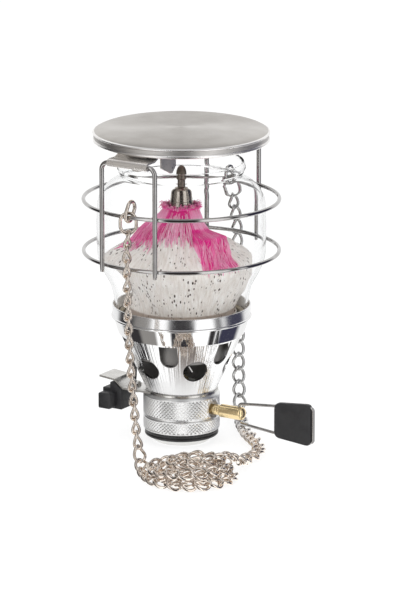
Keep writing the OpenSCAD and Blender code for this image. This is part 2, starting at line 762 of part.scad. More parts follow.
// Burner tube, bell and cap
mouth_z = boss_top + jet_tip_h + 1.5;

module burner_tube() {
    r = tube_d / 2;
    w = tube_wall;
    flange_r = 9;
    mouth_r = r + 2;
    color("silver") turned([[r - w, mouth_z + 3], [mouth_r - w, mouth_z], [mouth_r, mouth_z],
        [r, mouth_z + 3],
        [r, floor_top], [flange_r, floor_top], [flange_r, floor_top + w], [r, floor_top + w],
        [r, bell_z + bell_h / 3], [r - w, bell_z + bell_h / 3]]);
}

module burner_bell() {
    foot_r = bell_d / 2;
    neck = foot_r - 1.2;
    crown_r = acorn_d / 2 - 0.3;
    skirt_h = 6.4;
    tie = 0.5;
    bore = tube_d / 2 + fit_gap;
    color("darkgray") translate([0, 0, bell_z]) turned(concat(
        [[bore, 0], [foot_r, 0], [foot_r, 0.8], [foot_r - tie, 1.2], [foot_r - tie, 2.2], [foot_r, 2.6],
            [neck, skirt_h - 0.6], [neck, skirt_h], [neck - 0.4, skirt_h + 0.3], [neck - 0.4, bell_h - 3]],
        arc([neck - 3.4, bell_h - 3], 3, 15, 90, 4),
            [[crown_r, bell_h], [0, bell_h], [0, bell_h / 3], [bore, bell_h / 3]]));
}

module burner_cap() {
    r = acorn_d / 2;
    stem = r - 0.7;
    color("dimgray") translate([0, 0, bell_top]) turned(concat(
        [[0, 0], [stem, 0], [stem, 0.3 * acorn_h], [r - 0.2, 0.34 * acorn_h], [r, 0.4 * acorn_h]],
        [for (a = [0 : 15 : 75])
            [r * cos(a) * (1 - 0.06 * sin(a)), 0.62 * acorn_h + 0.38 * acorn_h * sin(a)]],
        [[0, acorn_h]]));
}

hem_wall = 0.8;

module mantle_ring() {
    r = mantle_ring_d / 2;
    top = rim_z - 1;
    lip = 0.4;
    color("silver") turned([[r - hem_wall - 2, floor_top], [r, floor_top], [r, top - 1], [r + lip, top - 0.5],
        [r + lip, top], [r - hem_wall, top], [r - hem_wall, floor_top + hem_wall],
            [r - hem_wall - 2, floor_top + hem_wall]]);
}

// Mantle: a cloth bag from the mantle ring up to the bell, with folds and one lobe folded over
mantle_foot_z = rim_z - 4.6;
mantle_top_z = bell_z + 3.4;
mantle_rings = 14;
mantle_sectors = 48;
lobe_angle = -20;
lobe_out = 2.6;
foot_clear = 0.5;
mantle_profile = let(h = mantle_top_z - mantle_foot_z, r = mantle_d / 2,
    foot = mantle_ring_d / 2 + foot_clear + mantle_t, neck = bell_d / 2 + foot_clear + mantle_t,
    low = globe_foot_d / 2 - glass_t - 1.4)
    [[foot, 0], [foot + 0.5, 0.07 * h], [low, 0.2 * h], [(low + r) / 2 - 0.2, 0.31 * h],
        [r - 0.6, 0.405 * h], [r, 0.485 * h], [r - 2.4, 0.545 * h], [0.8 * r, 0.607 * h],
        [0.68 * r, 0.677 * h], [0.575 * r, 0.765 * h], [0.455 * r, 0.853 * h], [neck + 3.5, 0.923 * h],
        [neck, h]];
mantle_neck_r = mantle_profile[len(mantle_profile) - 1][0];
function fold_depth(s) = s < 0.12 || s > 0.97 ? 0 : 0.5 + 0.8 * sin(180 * s);
function lobe(a, s) = let(d = (a - lobe_angle + 540) % 360 - 180)
    exp(-d * d / 500) * exp(-(s - 0.62) * (s - 0.62) / 0.015);
function mantle_line() = curve(mantle_profile, 4);
function mantle_at(k, a) = let(line = mantle_line(), i = k / (mantle_rings - 1) * (len(line) - 1),
    p = line[round(i)], s = k / (mantle_rings - 1))
    [p[0] + fold_depth(s) * (0.6 * cos(mantle_folds * a + 70 * s)
        + 0.4 * cos((mantle_folds - 4) * a - 120 * s))
        + lobe_out * lobe(a, s), p[1]];

module mantle() {
    n = mantle_sectors;
    m = mantle_rings;
    outer = [for (k = [0 : m - 1], j = [0 : n - 1]) let(a = 360 * j / n, p = mantle_at(k, a))
        polar(a, p[0], mantle_foot_z + p[1])];
    inner = [for (k = [0 : m - 1], j = [0 : n - 1]) let(a = 360 * j / n, p = mantle_at(k, a))
        polar(a, p[0] - mantle_t, mantle_foot_z + p[1] - (k > m / 2 && k < m - 1 ? mantle_t * 0.7 : 0))];
    all = m * n;
    skin = [for (k = [0 : m - 2], j = [0 : n - 1]) let(i = (j + 1) % n, a = k * n + j, b = k * n + i)
        each [[a, a + n, b], [b, a + n, b + n], [all + a, all + b, all + a + n],
            [all + b, all + b + n, all + a + n]]];
    top = (m - 1) * n;
    rims = [for (j = [0 : n - 1]) let(i = (j + 1) % n)
        each [[j, i, all + j], [i, all + i, all + j], [top + j, all + top + j, top + i],
            [top + i, all + top + j, all + top + i]]];
    color("whitesmoke") polyhedron(concat(outer, inner), concat(skin, rims));
}

module mantle_ties() {
    cord_r = 0.45;
    neck_clear = 0.9;
    foot_gap = 2 * wire_gap;
    color("hotpink") torus(mantle_neck_r + neck_clear + cord_r, cord_r, mantle_top_z - cord_r);
    color("white") torus(mantle_profile[0][0] + foot_gap + cord_r, cord_r, mantle_foot_z + cord_r);
}

// Top cap, its bracket, and the wire guard
hem_r = 0.75;
cap_r = cap_d / 2;
under_cap = crown_z - 2 * cap_t;
bar_z = hem_z - 3.5;
curl_in = frame_wire_r + wire_gap;
curl_t = 0.8;
curl_mid = curl_in + curl_t / 2;
slope_y = 28;
drop_y = cap_r - 1.6;

module top_cap() {
    edge = 2.6;
    flat_r = cap_r - edge;
    side_z = crown_z - cap_t - edge;
    color("lightgray") turned(concat([[0, under_cap], [flat_r - 1, under_cap]],
        arc([flat_r - 1, side_z], under_cap - side_z, 75, 15, 4),
        [[cap_r - hem_r * 2, hem_z + 2 * hem_r], [cap_r - hem_r * 2, hem_z + hem_r]],
        arc([cap_r - hem_r, hem_z + hem_r], hem_r, 180, 360, 8),
        [[cap_r, hem_z + 2 * hem_r]],
        arc([flat_r, side_z], edge, 0, 90, 6), [[flat_r * 0.5, crown_z - cap_t / 3], [0, crown_z]]));
}

// Strip profile in the YZ plane, on the +Y side: flat, sloped, then a curl round the frame wire
function strip_line() = [[0, under_cap - curl_t / 2], [slope_y, under_cap - curl_t / 2],
    [drop_y, bar_z + curl_mid], [leg_y, bar_z + curl_mid]];

module strip_half() {
    line = strip_line();
    half = curl_t / 2;
    polygon(concat(beside(line, half), reversed(beside(line, -half))));
    difference() {
        translate([leg_y, bar_z]) circle(r = curl_in + curl_t, $fn = round_fn);
        translate([leg_y, bar_z]) circle(r = curl_in, $fn = round_fn);
        translate([leg_y - 4 * curl_in, bar_z - 4 * curl_in]) square([4 * curl_in, 8 * curl_in]);
    }
    difference() {
        translate([leg_y, bar_z]) circle(r = curl_in + curl_t, $fn = round_fn);
        translate([leg_y, bar_z]) circle(r = curl_in, $fn = round_fn);
        translate([leg_y - 4 * curl_in, bar_z - curl_in * 0.6]) square([8 * curl_in, 8 * curl_in]);
        translate([leg_y, bar_z - 4 * curl_in]) square([4 * curl_in, 8 * curl_in]);
    }
}

// Ear outline: its point stands on the glass lip
module ear_outline() {
    ear_gap = 0.25;
    inner_y = lip_mid_r - 6.5;
    outer_y = lip_mid_r + 7.5;
    foot_y = sqrt(lip_mid_r * lip_mid_r - strip_w * strip_w / 4);
    foot_z = lip_z + ear_gap;
    polygon([[inner_y, under_cap - curl_t], [inner_y, foot_z + 3.4], [foot_y - 0.8, foot_z],
        [foot_y + 0.8, foot_z],
        [outer_y, foot_z + 4.4], [outer_y, bar_z + 4.2], [slope_y, under_cap - curl_t]]);
}

module tongue() {
    tongue_w = 12;
    tongue_y = drop_y - 1.6;
    tongue_low = lip_z + 2.4;
    translate([0, tongue_y, 0]) rotate([90, 0, 0]) linear_extrude(curl_t) union() {
        translate([0, tongue_low + tongue_w / 2]) circle(d = tongue_w, $fn = round_fn);
        translate([-tongue_w / 2, tongue_low + tongue_w / 2])
            square([tongue_w, bar_z + curl_mid - tongue_low - tongue_w / 2]);
    }
}

module cap_bracket() {
    color("rosybrown") for (turn = [0, 180]) rotate(turn) {
        translate([strip_w / 2, 0, 0]) rotate([90, 0, -90]) mirror([1, 0, 0]) linear_extrude(strip_w)
            strip_half();
        for (side = [-1, 1]) translate([side * (strip_w - curl_t) / 2 + curl_t / 2, 0, 0])
            rotate([90, 0, -90])
            mirror([1, 0, 0]) linear_extrude(curl_t) ear_outline();
        tongue();
    }
}

module frame_wire() {
    bottom = guard_low_z - leg_tail;
    color("silver") translate([0, -leg_y, 0]) rotate([90, 0, 0])
        bent_wire([[-leg_x, bottom], [-leg_x, bar_z], [leg_x, bar_z], [leg_x, bottom]], frame_wire_d,
            frame_bend + frame_wire_r);
}

module frame_wire_front() {
    frame_wire();
}

module frame_wire_rear() {
    rotate(180) frame_wire();
}

module guard_ring_upper() {
    color("silver") torus(guard_r, guard_wire_r, guard_high_z);
}

module guard_ring_lower() {
    color("silver") torus(guard_r, guard_wire_r, guard_low_z);
}

// Hanging chain. Both ends hold the upper guard ring: an end link that leans on the wire, a drop link
// through it, then the small twisted links.
link_gap = 0.4;
// Allowance for the flats along the bows of a small link
link_tip = 0.1;
joint_over = (link_wire + link_gap) / 2;
link_half_l = link_pitch / 2 + joint_over + link_tip;
link_half_w = (link_w - link_wire) / 2;
drop_turn = 32;
drop_rise = guard_wire_r + drop_link_wire / 2 + 4 * wire_gap;
drop_half = (big_link_l - drop_link_wire) / 2;
drop_low_z = guard_high_z + drop_rise - 2 * drop_half;
chain_top_z = drop_low_z + drop_link_wire / 2 + link_wire / 2 + wire_gap - joint_over - link_tip;

module chain_end_links() {
    grip = guard_wire_r + end_link_wire / 2 + wire_gap;
    color("silver") for (turn = [0, 180]) rotate(turn) translate([0, -guard_r, guard_high_z])
        rotate([-end_link_lean, 0, 0]) translate([0, 0, (big_link_l - end_link_wire) / 2 - grip])
            rotate(90) oval_link(big_link_l, end_link_w, end_link_wire);
}

module chain_drop_links() {
    color("silver") for (turn = [0, 180]) rotate(turn)
        translate([0, -guard_r, guard_high_z + drop_rise - drop_half]) rotate(drop_turn)
            oval_link(big_link_l, drop_link_w, drop_link_wire);
}

// Heap frame: right and away as the heap is looked at, about its own centre
heap_turn = 32;
heap_x = 45;
heap_y = -60;
function heap_point(p) = [heap_x + p[0] * cos(heap_turn) - p[1] * sin(heap_turn),
    heap_y + p[0] * sin(heap_turn) + p[1] * cos(heap_turn), p[2]];
floor_z = 1.8;
layer_h = 3.6;
hang_y = guard_r + 5;
front_hang = [[0, -guard_r, chain_top_z], [0.6, -guard_r - 2, chain_top_z - 8], [2.2, -hang_y, guard_low_z],
    [3.2, -hang_y, 70], [5, -hang_y, 45], [6.5, -hang_y, 30], [8.5, -57, 17], [12.5, -60, 7],
        [18, -66.5, 2.6]];
// Rise from one layer to the next, over the given number of points
function climb(k, from, points) = layer_h * min(1, max(0, (k - from) / points));
// Lower layer of the heap winds inwards in even steps, and climbs at its inner end
lower_turns = [for (k = [0 : 23]) polar(190 + 28 * k, 23.5 - 0.58 * k, floor_z + climb(k, 18, 5))];
// Middle layer winds outwards again, and climbs at its outer end
middle_turns = [for (k = [0 : 16])
    polar(144 + 30 * k, 10.4 + min(8, k) + 0.5 * max(0, k - 8), floor_z + layer_h + climb(k, 12, 4))];
// Top stretch winds inwards once more, then crosses over itself to the right and goes down
top_stretch = concat([for (p = [[294, 20.5, 0], [326, 17, 0], [2, 14, 0], [42, 12.2, 0], [84, 11.2, 0],
    [128, 10.8, 0],
    [170, 11.4, 0.5], [208, 12.2, 1.4], [240, 12.8, 2.3]]) polar(p[0], p[1], floor_z + 2 * layer_h + p[2])],
    [[0.5, -12.8, 12.2], [7.5, -10, 12.7], [13.8, -4, 12.7], [19.5, 5.5, 10.4], [24, 12.5, 6.4],
        [26, 19.5, 2.8]]);
rear_hang = [[53, -24, floor_z], [54, -14, floor_z], [50, -4, floor_z], [43, 6, floor_z], [34, 14, floor_z],
    [25, 23, floor_z], [17, 33, floor_z], [10, 43, floor_z], [5, 51, 3], [1.6, 55.6, 8], [0.4, 57, 16],
        [0, 57, 30],
    [0, 57, 60], [0, hang_y, guard_low_z], [0, guard_r + 2, chain_top_z - 8], [0, guard_r, chain_top_z]];
chain_line = curve(concat(front_hang,
    [for (p = concat(lower_turns, middle_turns, top_stretch)) heap_point(p)], rear_hang), 24);
chain_end = chain_line[len(chain_line) - 1];

// Joints between links: walks along the line in even steps, each one pitch long but for a trace that
// lets the last joint meet the line's end
function joints(i, found, step) = i >= len(chain_line) ? found :
    let(last = found[len(found) - 1], d = norm(chain_line[i] - last))
    d < step ? joints(i + 1, found, step) :
    let(before = norm(chain_line[i - 1] - last), t = (step - before) / (d - before))
    joints(i, concat(found, [chain_line[i - 1] + t * (chain_line[i] - chain_line[i - 1])]), step);
function walked(found, step) = (len(found) - 1) * step + norm(chain_end - found[len(found) - 1]);
rough_joints = joints(1, [chain_line[0]], link_pitch);
link_count = round(walked(rough_joints, link_pitch) / link_pitch);
rough_step = walked(rough_joints, link_pitch) / link_count;
step_joints = joints(1, [chain_line[0]], rough_step);
link_step = walked(step_joints, rough_step) / link_count;
fine_joints = joints(1, [chain_line[0]], link_step);
chain_joints = [for (i = [0 : link_count]) i < link_count ? fine_joints[i] : chain_end];
front_links = 20;
rear_links = 26;

// Way a link's face is turned: hanging links turn slowly about the vertical, lying links lie flat
function hang_angle(i) = i < link_count / 2 ? 112 - 2 * i : 77 - 2 * (link_count - 1 - i);
function link_side(i) = let(t = unit(chain_joints[i + 1] - chain_joints[i]), flat = norm([t[0], t[1]]),
    a = hang_angle(i), hang = [cos(a), sin(a), 0], lie = flat < 0.05 ? hang : unit(cross([0, 0, 1], t)),
    lie_near = lie * hang < 0 ? -lie : lie, k = min(1, max(0, (flat - 0.3) / 0.6)),
    w = (1 - k) * hang + k * lie_near)
    unit(w - (w * t) * t);

link_rings = 12;
link_sides = 5;
function link_spine(a) = let(w = link_twist * cos(a))
    [link_half_w * sin(a) * cos(w), link_half_w * sin(a) * sin(w), link_half_l * cos(a)];
function link_section(a) = let(w = link_twist * cos(a), g = unit(link_spine(a + 1) - link_spine(a - 1)),
    u = unit(cross(g, [-sin(w), cos(w), 0])), v = cross(g, u))
    [for (k = [0 : link_sides - 1]) let(b = 360 * k / link_sides)
        link_spine(a) + link_wire / 2 * (cos(b) * u + sin(b) * v)];

module small_link() {
    n = link_rings;
    m = link_sides;
    points = [for (i = [0 : n - 1]) each link_section(360 * i / n)];
    faces = [for (i = [0 : n - 1], k = [0 : m - 1]) let(j = (i + 1) % n, l = (k + 1) % m)
        each [[i * m + k, j * m + k, i * m + l], [i * m + l, j * m + k, j * m + l]]];
    polyhedron(points, faces);
}

module chain_part(from, to) {
    color("silver") for (i = [from : to]) {
        a = chain_joints[i];
        b = chain_joints[i + 1];
        t = unit(b - a);
        w = link_side(i);
        n = cross(t, w);
        c = (a + b) / 2;
        multmatrix([[w[0], n[0], t[0], c[0]], [w[1], n[1], t[1], c[1]], [w[2], n[2], t[2], c[2]]])
            small_link();
    }
}

module chain_front() {
    chain_part(0, front_links - 1);
}

module chain_heap() {
    chain_part(front_links, link_count - rear_links - 1);
}

module chain_rear() {
    chain_part(link_count - rear_links, link_count - 1);
}

top_cap();
cap_bracket();
frame_wire_front();
frame_wire_rear();
guard_ring_upper();
guard_ring_lower();
glass_globe();
globe_gasket();
globe_collar();
vent_funnel();
mantle_ring();
burner_tube();
burner_bell();
burner_cap();
mantle();
mantle_ties();
gas_jet();
funnel_nut();
electrode_insulator();
electrode_rod();
ignition_lead();
igniter_bracket();
igniter_housing();
igniter_button();
bracket_screw();
bracket_nut();
valve_body();
connector_ring();
base_seal();
thread_bush();
canister_seal();
valve_pin();
gland_nut();
spindle_seal();
valve_spindle();
handle_wire();
handle_grip();
chain_end_links();
chain_drop_links();
chain_front();
chain_heap();
chain_rear();
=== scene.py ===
import math
import random
from collections import Counter

import bmesh
import bpy
import numpy as np
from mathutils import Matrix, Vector


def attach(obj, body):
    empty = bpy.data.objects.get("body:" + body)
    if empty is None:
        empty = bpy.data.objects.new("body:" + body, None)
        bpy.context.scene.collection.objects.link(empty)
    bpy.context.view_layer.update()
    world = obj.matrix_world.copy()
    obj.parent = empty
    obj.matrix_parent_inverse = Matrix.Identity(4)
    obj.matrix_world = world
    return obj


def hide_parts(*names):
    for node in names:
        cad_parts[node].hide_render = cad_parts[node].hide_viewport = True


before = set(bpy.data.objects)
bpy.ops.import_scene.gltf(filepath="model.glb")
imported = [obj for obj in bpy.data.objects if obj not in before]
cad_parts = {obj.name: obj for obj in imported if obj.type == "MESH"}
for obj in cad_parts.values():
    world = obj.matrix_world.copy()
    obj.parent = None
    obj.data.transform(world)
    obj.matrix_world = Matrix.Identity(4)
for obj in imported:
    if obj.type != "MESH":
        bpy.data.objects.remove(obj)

# Gas lantern in the CAD frame. Sizes are in millimetres here and go to metres in lay_mesh.
MM = 0.001
FULL_TURN = 2 * math.pi
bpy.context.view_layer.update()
dice = random.Random(41)

# Heights and radii that several pieces share, as in the part's source
BODY_R = 20.2
SEAL_Z, RING_Z, BODY_Z, PLATE_Z = 3.3, 6.8, 14.2, 27.2
FUNNEL_Z, COLLAR_LIP_Z, BAND_Z, RIM_Z = 28.2, 58.9, 67.9, 74.0
SPINDLE_Z, SPINDLE_REACH, PIVOT_X = 19.1, 38.9, 35.5
GLOBE_Z, GLOBE_H = 68.5, 81.6
BELL_Z = 123.0
HEM_Z, CROWN_Z, BAR_Z = 161.1, 168.1, 157.6
GUARD_R, GUARD_LOW_Z, GUARD_HIGH_Z = 51.0, 102.6, 130.1
LEG_X, LEG_Y = 16.1, 50.93
CAMERA_TURN, CAMERA_RISE = math.radians(32), math.radians(14.5)
CAMERA_SIDE = CAMERA_TURN - math.pi / 2
AWAY = (-math.sin(CAMERA_TURN), math.cos(CAMERA_TURN), 0)
FINISHES = {}


# Mesh tools. A mesh is a pair: its points in millimetres and its faces.
def new_object(name, data):
    thing = bpy.data.objects.new(name, data)
    bpy.context.scene.collection.objects.link(thing)
    return thing


def lay_mesh(name, mesh, finish, stands_for=(), sharp=40, body="lantern"):
    """Makes a piece, shaded smooth up to the sharp angle, and sets it on its body."""
    data = bpy.data.meshes.new(name)
    data.from_pydata([(x * MM, y * MM, z * MM) for x, y, z in mesh[0]], [], mesh[1])
    work = bmesh.new()
    work.from_mesh(data)
    bmesh.ops.recalc_face_normals(work, faces=work.faces)
    work.to_mesh(data)
    work.free()
    data.polygons.foreach_set("use_smooth", [True] * len(data.polygons))
    data.set_sharp_from_angle(angle=math.radians(sharp))
    data.update()
    data.materials.append(FINISHES[finish])
    piece = new_object(name, data)
    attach(piece, body)
    if stands_for:
        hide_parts(*stands_for)
    return piece


def add_finishes(piece, names, pick):
    """More finishes on a piece. pick numbers each face's finish from its radius, its height and the face."""
    for name in names:
        piece.data.materials.append(FINISHES[name])
    for face in piece.data.polygons:
        x, y, z = face.center / MM
        face.material_index = pick(math.hypot(x, y), z, face)


def unit(v):
    return v / np.linalg.norm(v)


def turns(count):
    """Angles spaced evenly round a circle."""
    return [FULL_TURN * k / count for k in range(count)]


def polar(radius, angle, z):
    return (radius * math.cos(angle), radius * math.sin(angle), z)


def arc(x, z, radius, angles):
    """Points of an outline round a centre."""
    return [(x + radius * math.cos(a), z + radius * math.sin(a)) for a in angles]


def eased(points, reach, steps=4, closed=False):
    """Rounds the corners of an outline: each corner gives way to a short curve no longer than reach."""
    pts = [np.array(p, float) for p in points]
    count = len(pts)
    out = []
    for i, p in enumerate(pts):
        if not closed and i in (0, count - 1):
            out.append(tuple(p))
            continue
        a, b = pts[i - 1], pts[(i + 1) % count]
        la, lb = np.linalg.norm(a - p), np.linalg.norm(b - p)
        cut = min(reach, 0.45 * la, 0.45 * lb)
        start, end = p + (a - p) / la * cut, p + (b - p) / lb * cut
        for k in range(steps + 1):
            t = k / steps
            out.append(tuple((1 - t) ** 2 * start + 2 * t * (1 - t) * p + t * t * end))
    return out


def smooth_line(points, steps):
    """Curve through given points, with even steps from one to the next."""
    p = [np.array(q, float) for q in points]
    out = []
    for i in range(len(p) - 1):
        a, b, c, d = p[max(0, i - 1)], p[i], p[i + 1], p[min(len(p) - 1, i + 2)]
        for k in range(steps):
            t = k / steps
            out.append(0.5 * (2 * b + (c - a) * t + (2 * a - 5 * b + 4 * c - d) * t * t
                              + (3 * b - 3 * c + d - a) * t ** 3))
    out.append(p[-1])
    return out


def merged(*meshes):
    """Several meshes as one."""
    verts, faces = [], []
    for v, f in meshes:
        base = len(verts)
        verts += list(v)
        faces += [tuple(i + base for i in face) for face in f]
    return verts, faces


def moved(mesh, by):
    return [(x + by[0], y + by[1], z + by[2]) for x, y, z in mesh[0]], mesh[1]


def turned_about(angle, mesh):
    """The same mesh, turned about the lantern's axis."""
    c, s = math.cos(angle), math.sin(angle)
    return [(x * c - y * s, x * s + y * c, z) for x, y, z in mesh[0]], mesh[1]


def skin(rows, columns, closed=False, capped=False):
    """Faces between rows of points, each row a ring. closed joins the last row to the first."""
    faces = []
    for i in range(rows if closed else rows - 1):
        j = (i + 1) % rows
        for k in range(columns):
            m = (k + 1) % columns
            faces.append((i * columns + k, i * columns + m, j * columns + m, j * columns + k))
    if capped:
        faces.append(tuple(range(columns - 1, -1, -1)))
        faces.append(tuple((rows - 1) * columns + k for k in range(columns)))
    return faces


def open_edges(faces):
    """Edges that one face alone uses, in that face's direction."""
    edges = {}
    for face in faces:
        for a, b in zip(face, face[1:] + face[:1]):
            if (b, a) in edges:
                del edges[(b, a)]
            else:
                edges[(a, b)] = True
    return list(edges)


def lathe(outline, segments=128, closed=True):
    """Turns an outline of (radius, height) about the lantern's axis."""
    verts, faces, rows = [], [], []
    for r, h in outline:
        count = 1 if r < 1e-6 else segments
        rows.append(range(len(verts), len(verts) + count))
        verts += [polar(r, a, h) for a in turns(segments)[:count]]
    for a, b in list(zip(rows, rows[1:])) + ([(rows[-1], rows[0])] if closed else []):
        for k in range(segments if len(a) + len(b) > 2 else 0):
            j = (k + 1) % segments
            if len(a) == 1:
                faces.append((a[0], b[k], b[j]))
            elif len(b) == 1:
                faces.append((a[k], a[j], b[0]))
            else:
                faces.append((a[k], a[j], b[j], b[k]))
    return verts, faces


DOME_STEPS = (1.25, 0.9, 0.5)


def rod(path, radius, sides=14, closed=False, first=None, dome=0.0):
    """Round wire along a path. first says where its rings start, dome rounds its two ends."""
    p = [np.array(q, float) for q in path]
    radii = [radius] * len(p)
    if dome > 0:
        for _ in range(2):
            away = unit(p[0] - p[1])
            p = [p[0] - away * dome * (1 - math.sin(t)) for t in DOME_STEPS] + p[1:]
            p.reverse()
        ends = [radius * math.cos(t) for t in DOME_STEPS]
        radii = ends + [radius] * (len(p) - 2 * len(ends)) + ends[::-1]
    n = len(p)
    verts = []
    normal = None if first is None else np.array(first, float)
    for i, r in enumerate(radii):
        a = p[i - 1] if closed or i > 0 else p[i]
        b = p[(i + 1) % n] if closed or i < n - 1 else p[i]
        t = unit(b - a)
        if normal is None:
            normal = np.cross(t, (0.0, 0.0, 1.0) if abs(t[2]) < 0.9 else (1.0, 0.0, 0.0))
        normal = unit(normal - np.dot(normal, t) * t)
        side = np.cross(t, normal)
        verts += [tuple(p[i] + r * (math.cos(u) * normal + math.sin(u) * side)) for u in turns(sides)]
    return verts, skin(n, sides, closed, capped=not closed)


def slab(outline, front, back, edge, steps=3):
    """Plate that stands upright, from a rounded outline of (x, z) points, its rims rounded by edge."""
    pts = [np.array(p, float) for p in outline]
    count = len(pts)
    inward = []
    for i in range(count):
        t = unit(pts[(i + 1) % count] - pts[i - 1])
        inward.append(np.array((-t[1], t[0])))
    area = sum(a[0] * b[1] - b[0] * a[1] for a, b in zip(pts, pts[1:] + pts[:1]))
    if area < 0:
        inward = [-v for v in inward]
    rings = []
    for k in range(steps + 1):
        a = math.pi / 2 * k / steps
        rings.append((edge * (1 - math.sin(a)), front + edge * (1 - math.cos(a))))
    rings += [(inset, front + back - y) for inset, y in reversed(rings)]
    verts = [(p[0] + inset * n[0], y, p[1] + inset * n[1]) for inset, y in rings for p, n in zip(pts, inward)]
    return verts, skin(len(rings), count, capped=True)


# Shader tools
COLOUR, NUMBER, PLACE = "NodeSocketColor", "NodeSocketFloat", "NodeSocketVector"


def rgba(colour):
    return (*colour, 1.0)


def feed(tree, socket, value):
    """Links a socket to a node or to another socket, or gives it a value of its own."""
    if isinstance(value, bpy.types.Node):
        value = value.outputs[0]
    if isinstance(value, bpy.types.NodeSocket):
        tree.links.new(value, socket)
    else:
        socket.default_value = value


def fill(tree, node, *fed, **values):
    """Feeds a node: unnamed values go to its inputs in order, named ones to that input or else a property."""
    for key, value in values.items():
        label = key.replace("_", " ")
        if label in node.inputs:
            feed(tree, node.inputs[label], value)
        else:
            setattr(node, key, value)
    for socket, value in zip(node.inputs, fed):
        feed(tree, socket, value)
    return node


def add(tree, kind, *fed, **values):
    return fill(tree, tree.nodes.new("ShaderNode" + kind), *fed, **values)


def two_tone(tree, factor, low, high, blend="MIX"):
    """Mix of two colours, given as such or as sockets."""
    mix = add(tree, "Mix", data_type="RGBA", blend_type=blend, Factor=factor)
    for socket, colour in zip(mix.inputs[6:8], (low, high)):
        feed(tree, socket, rgba(colour) if isinstance(colour, tuple) else colour)
    return mix.outputs[2]


def sloped(tree, value, low, high, to_low=0.0, to_high=1.0, smooth=False):
    """A value taken from one range to another."""
    return add(tree, "MapRange", interpolation_type="SMOOTHSTEP" if smooth else "LINEAR", Value=value,
               From_Min=low, From_Max=high, To_Min=to_low, To_Max=to_high).outputs["Result"]


def combined(tree, operation, *values):
    return add(tree, "Math", *values, operation=operation).outputs[0]


def noise(tree, place, scale, detail, roughness=0.5, waver=0.0):
    return add(tree, "TexNoise", Vector=place, Scale=scale, Detail=detail, Roughness=roughness,
               Distortion=waver).outputs["Fac"]


def share_along(tree, place, way):
    """How far a place lies in one direction."""
    return add(tree, "VectorMath", place, way, operation="DOT_PRODUCT").outputs["Value"]


# Shader groups
def group_shell(name, inputs, outputs):
    """Empty shader group. Gives the group, the sockets it is given and the sockets it feeds."""
    group = bpy.data.node_groups.new(name, "ShaderNodeTree")
    for label, kind, value in inputs:
        socket = group.interface.new_socket(name=label, in_out="INPUT", socket_type=kind)
        if value is not None:
            socket.default_value = value
    for label, kind in outputs:
        group.interface.new_socket(name=label, in_out="OUTPUT", socket_type=kind)
    return group, group.nodes.new("NodeGroupInput").outputs, group.nodes.new("NodeGroupOutput").inputs


def make_finish_marks():
    """Uneven tone, handling marks and fine grain, for every finish."""
    g, given, out = group_shell("finish_marks", [
        ("Place", PLACE, None), ("Colour", COLOUR, (0.8, 0.8, 0.8, 1)),
        ("Soiled", COLOUR, (0.5, 0.5, 0.5, 1)), ("Soiling", NUMBER, 0.2), ("Patch Scale", NUMBER, 60.0),
        ("Grain Scale", NUMBER, 900.0), ("Smooth", NUMBER, 0.1), ("Rough", NUMBER, 0.2)],
        [("Colour", COLOUR), ("Roughness", NUMBER), ("Height", NUMBER)])
    patch = sloped(g, noise(g, given["Place"], given["Patch Scale"], 5.0, 0.6), 0.35, 0.7)
    grain = noise(g, given["Place"], given["Grain Scale"], 2.0)
    amount = combined(g, "MULTIPLY", patch, given["Soiling"])
    both = combined(g, "MULTIPLY_ADD", grain, 0.4, patch)
    feed(g, out["Colour"], two_tone(g, amount, given["Colour"], given["Soiled"]))
    feed(g, out["Roughness"], sloped(g, both, 0.0, 1.0, given["Smooth"], given["Rough"]))
    feed(g, out["Height"], grain)
    return g


def make_lathe_rings():
    """Fine rings about the lantern's axis, or about any axis that Place is turned to."""
    g, given, out = group_shell("lathe_rings", [
        ("Place", PLACE, None), ("Rings", NUMBER, 900.0), ("Waver", NUMBER, 1.5)], [("Height", NUMBER)])
    x, y, z = add(g, "SeparateXYZ", given["Place"]).outputs
    radius = add(g, "VectorMath", add(g, "CombineXYZ", x, y), operation="LENGTH").outputs["Value"]
    across = combined(g, "MULTIPLY", combined(g, "ADD", radius, z), given["Rings"])
    along = combined(g, "MULTIPLY", combined(g, "ARCTAN2", y, x), given["Waver"])
    feed(g, out["Height"], noise(g, add(g, "CombineXYZ", across, along), 1.0, 3.0, 0.7))
    return g


def make_draw_lines():
    """Streaks that run up a turned sheet, as a deep draw leaves them."""
    g, given, out = group_shell("draw_lines", [
        ("Place", PLACE, None), ("Around", NUMBER, 22.0), ("Upward", NUMBER, 18.0), ("Waver", NUMBER, 1.0)],
        [("Height", NUMBER)])
    x, y, z = add(g, "SeparateXYZ", given["Place"]).outputs
    around = combined(g, "MULTIPLY", combined(g, "ARCTAN2", y, x), given["Around"])
    upward = combined(g, "MULTIPLY", z, given["Upward"])
    feed(g, out["Height"], noise(g, add(g, "CombineXYZ", around, upward), 1.0, 2.0, 0.45, given["Waver"]))
    return g


FINISH_MARKS = make_finish_marks()
LATHE_RINGS = make_lathe_rings()
DRAW_LINES = make_draw_lines()


# Materials
def new_finish(name):
    """Bare material. Gives its tree, its Principled shader and the piece's own coordinates."""
    finish = bpy.data.materials.new(name)
    finish.use_nodes = True
    FINISHES[name] = finish
    tree = finish.node_tree
    return tree, tree.nodes["Principled BSDF"], add(tree, "TexCoord").outputs["Object"]


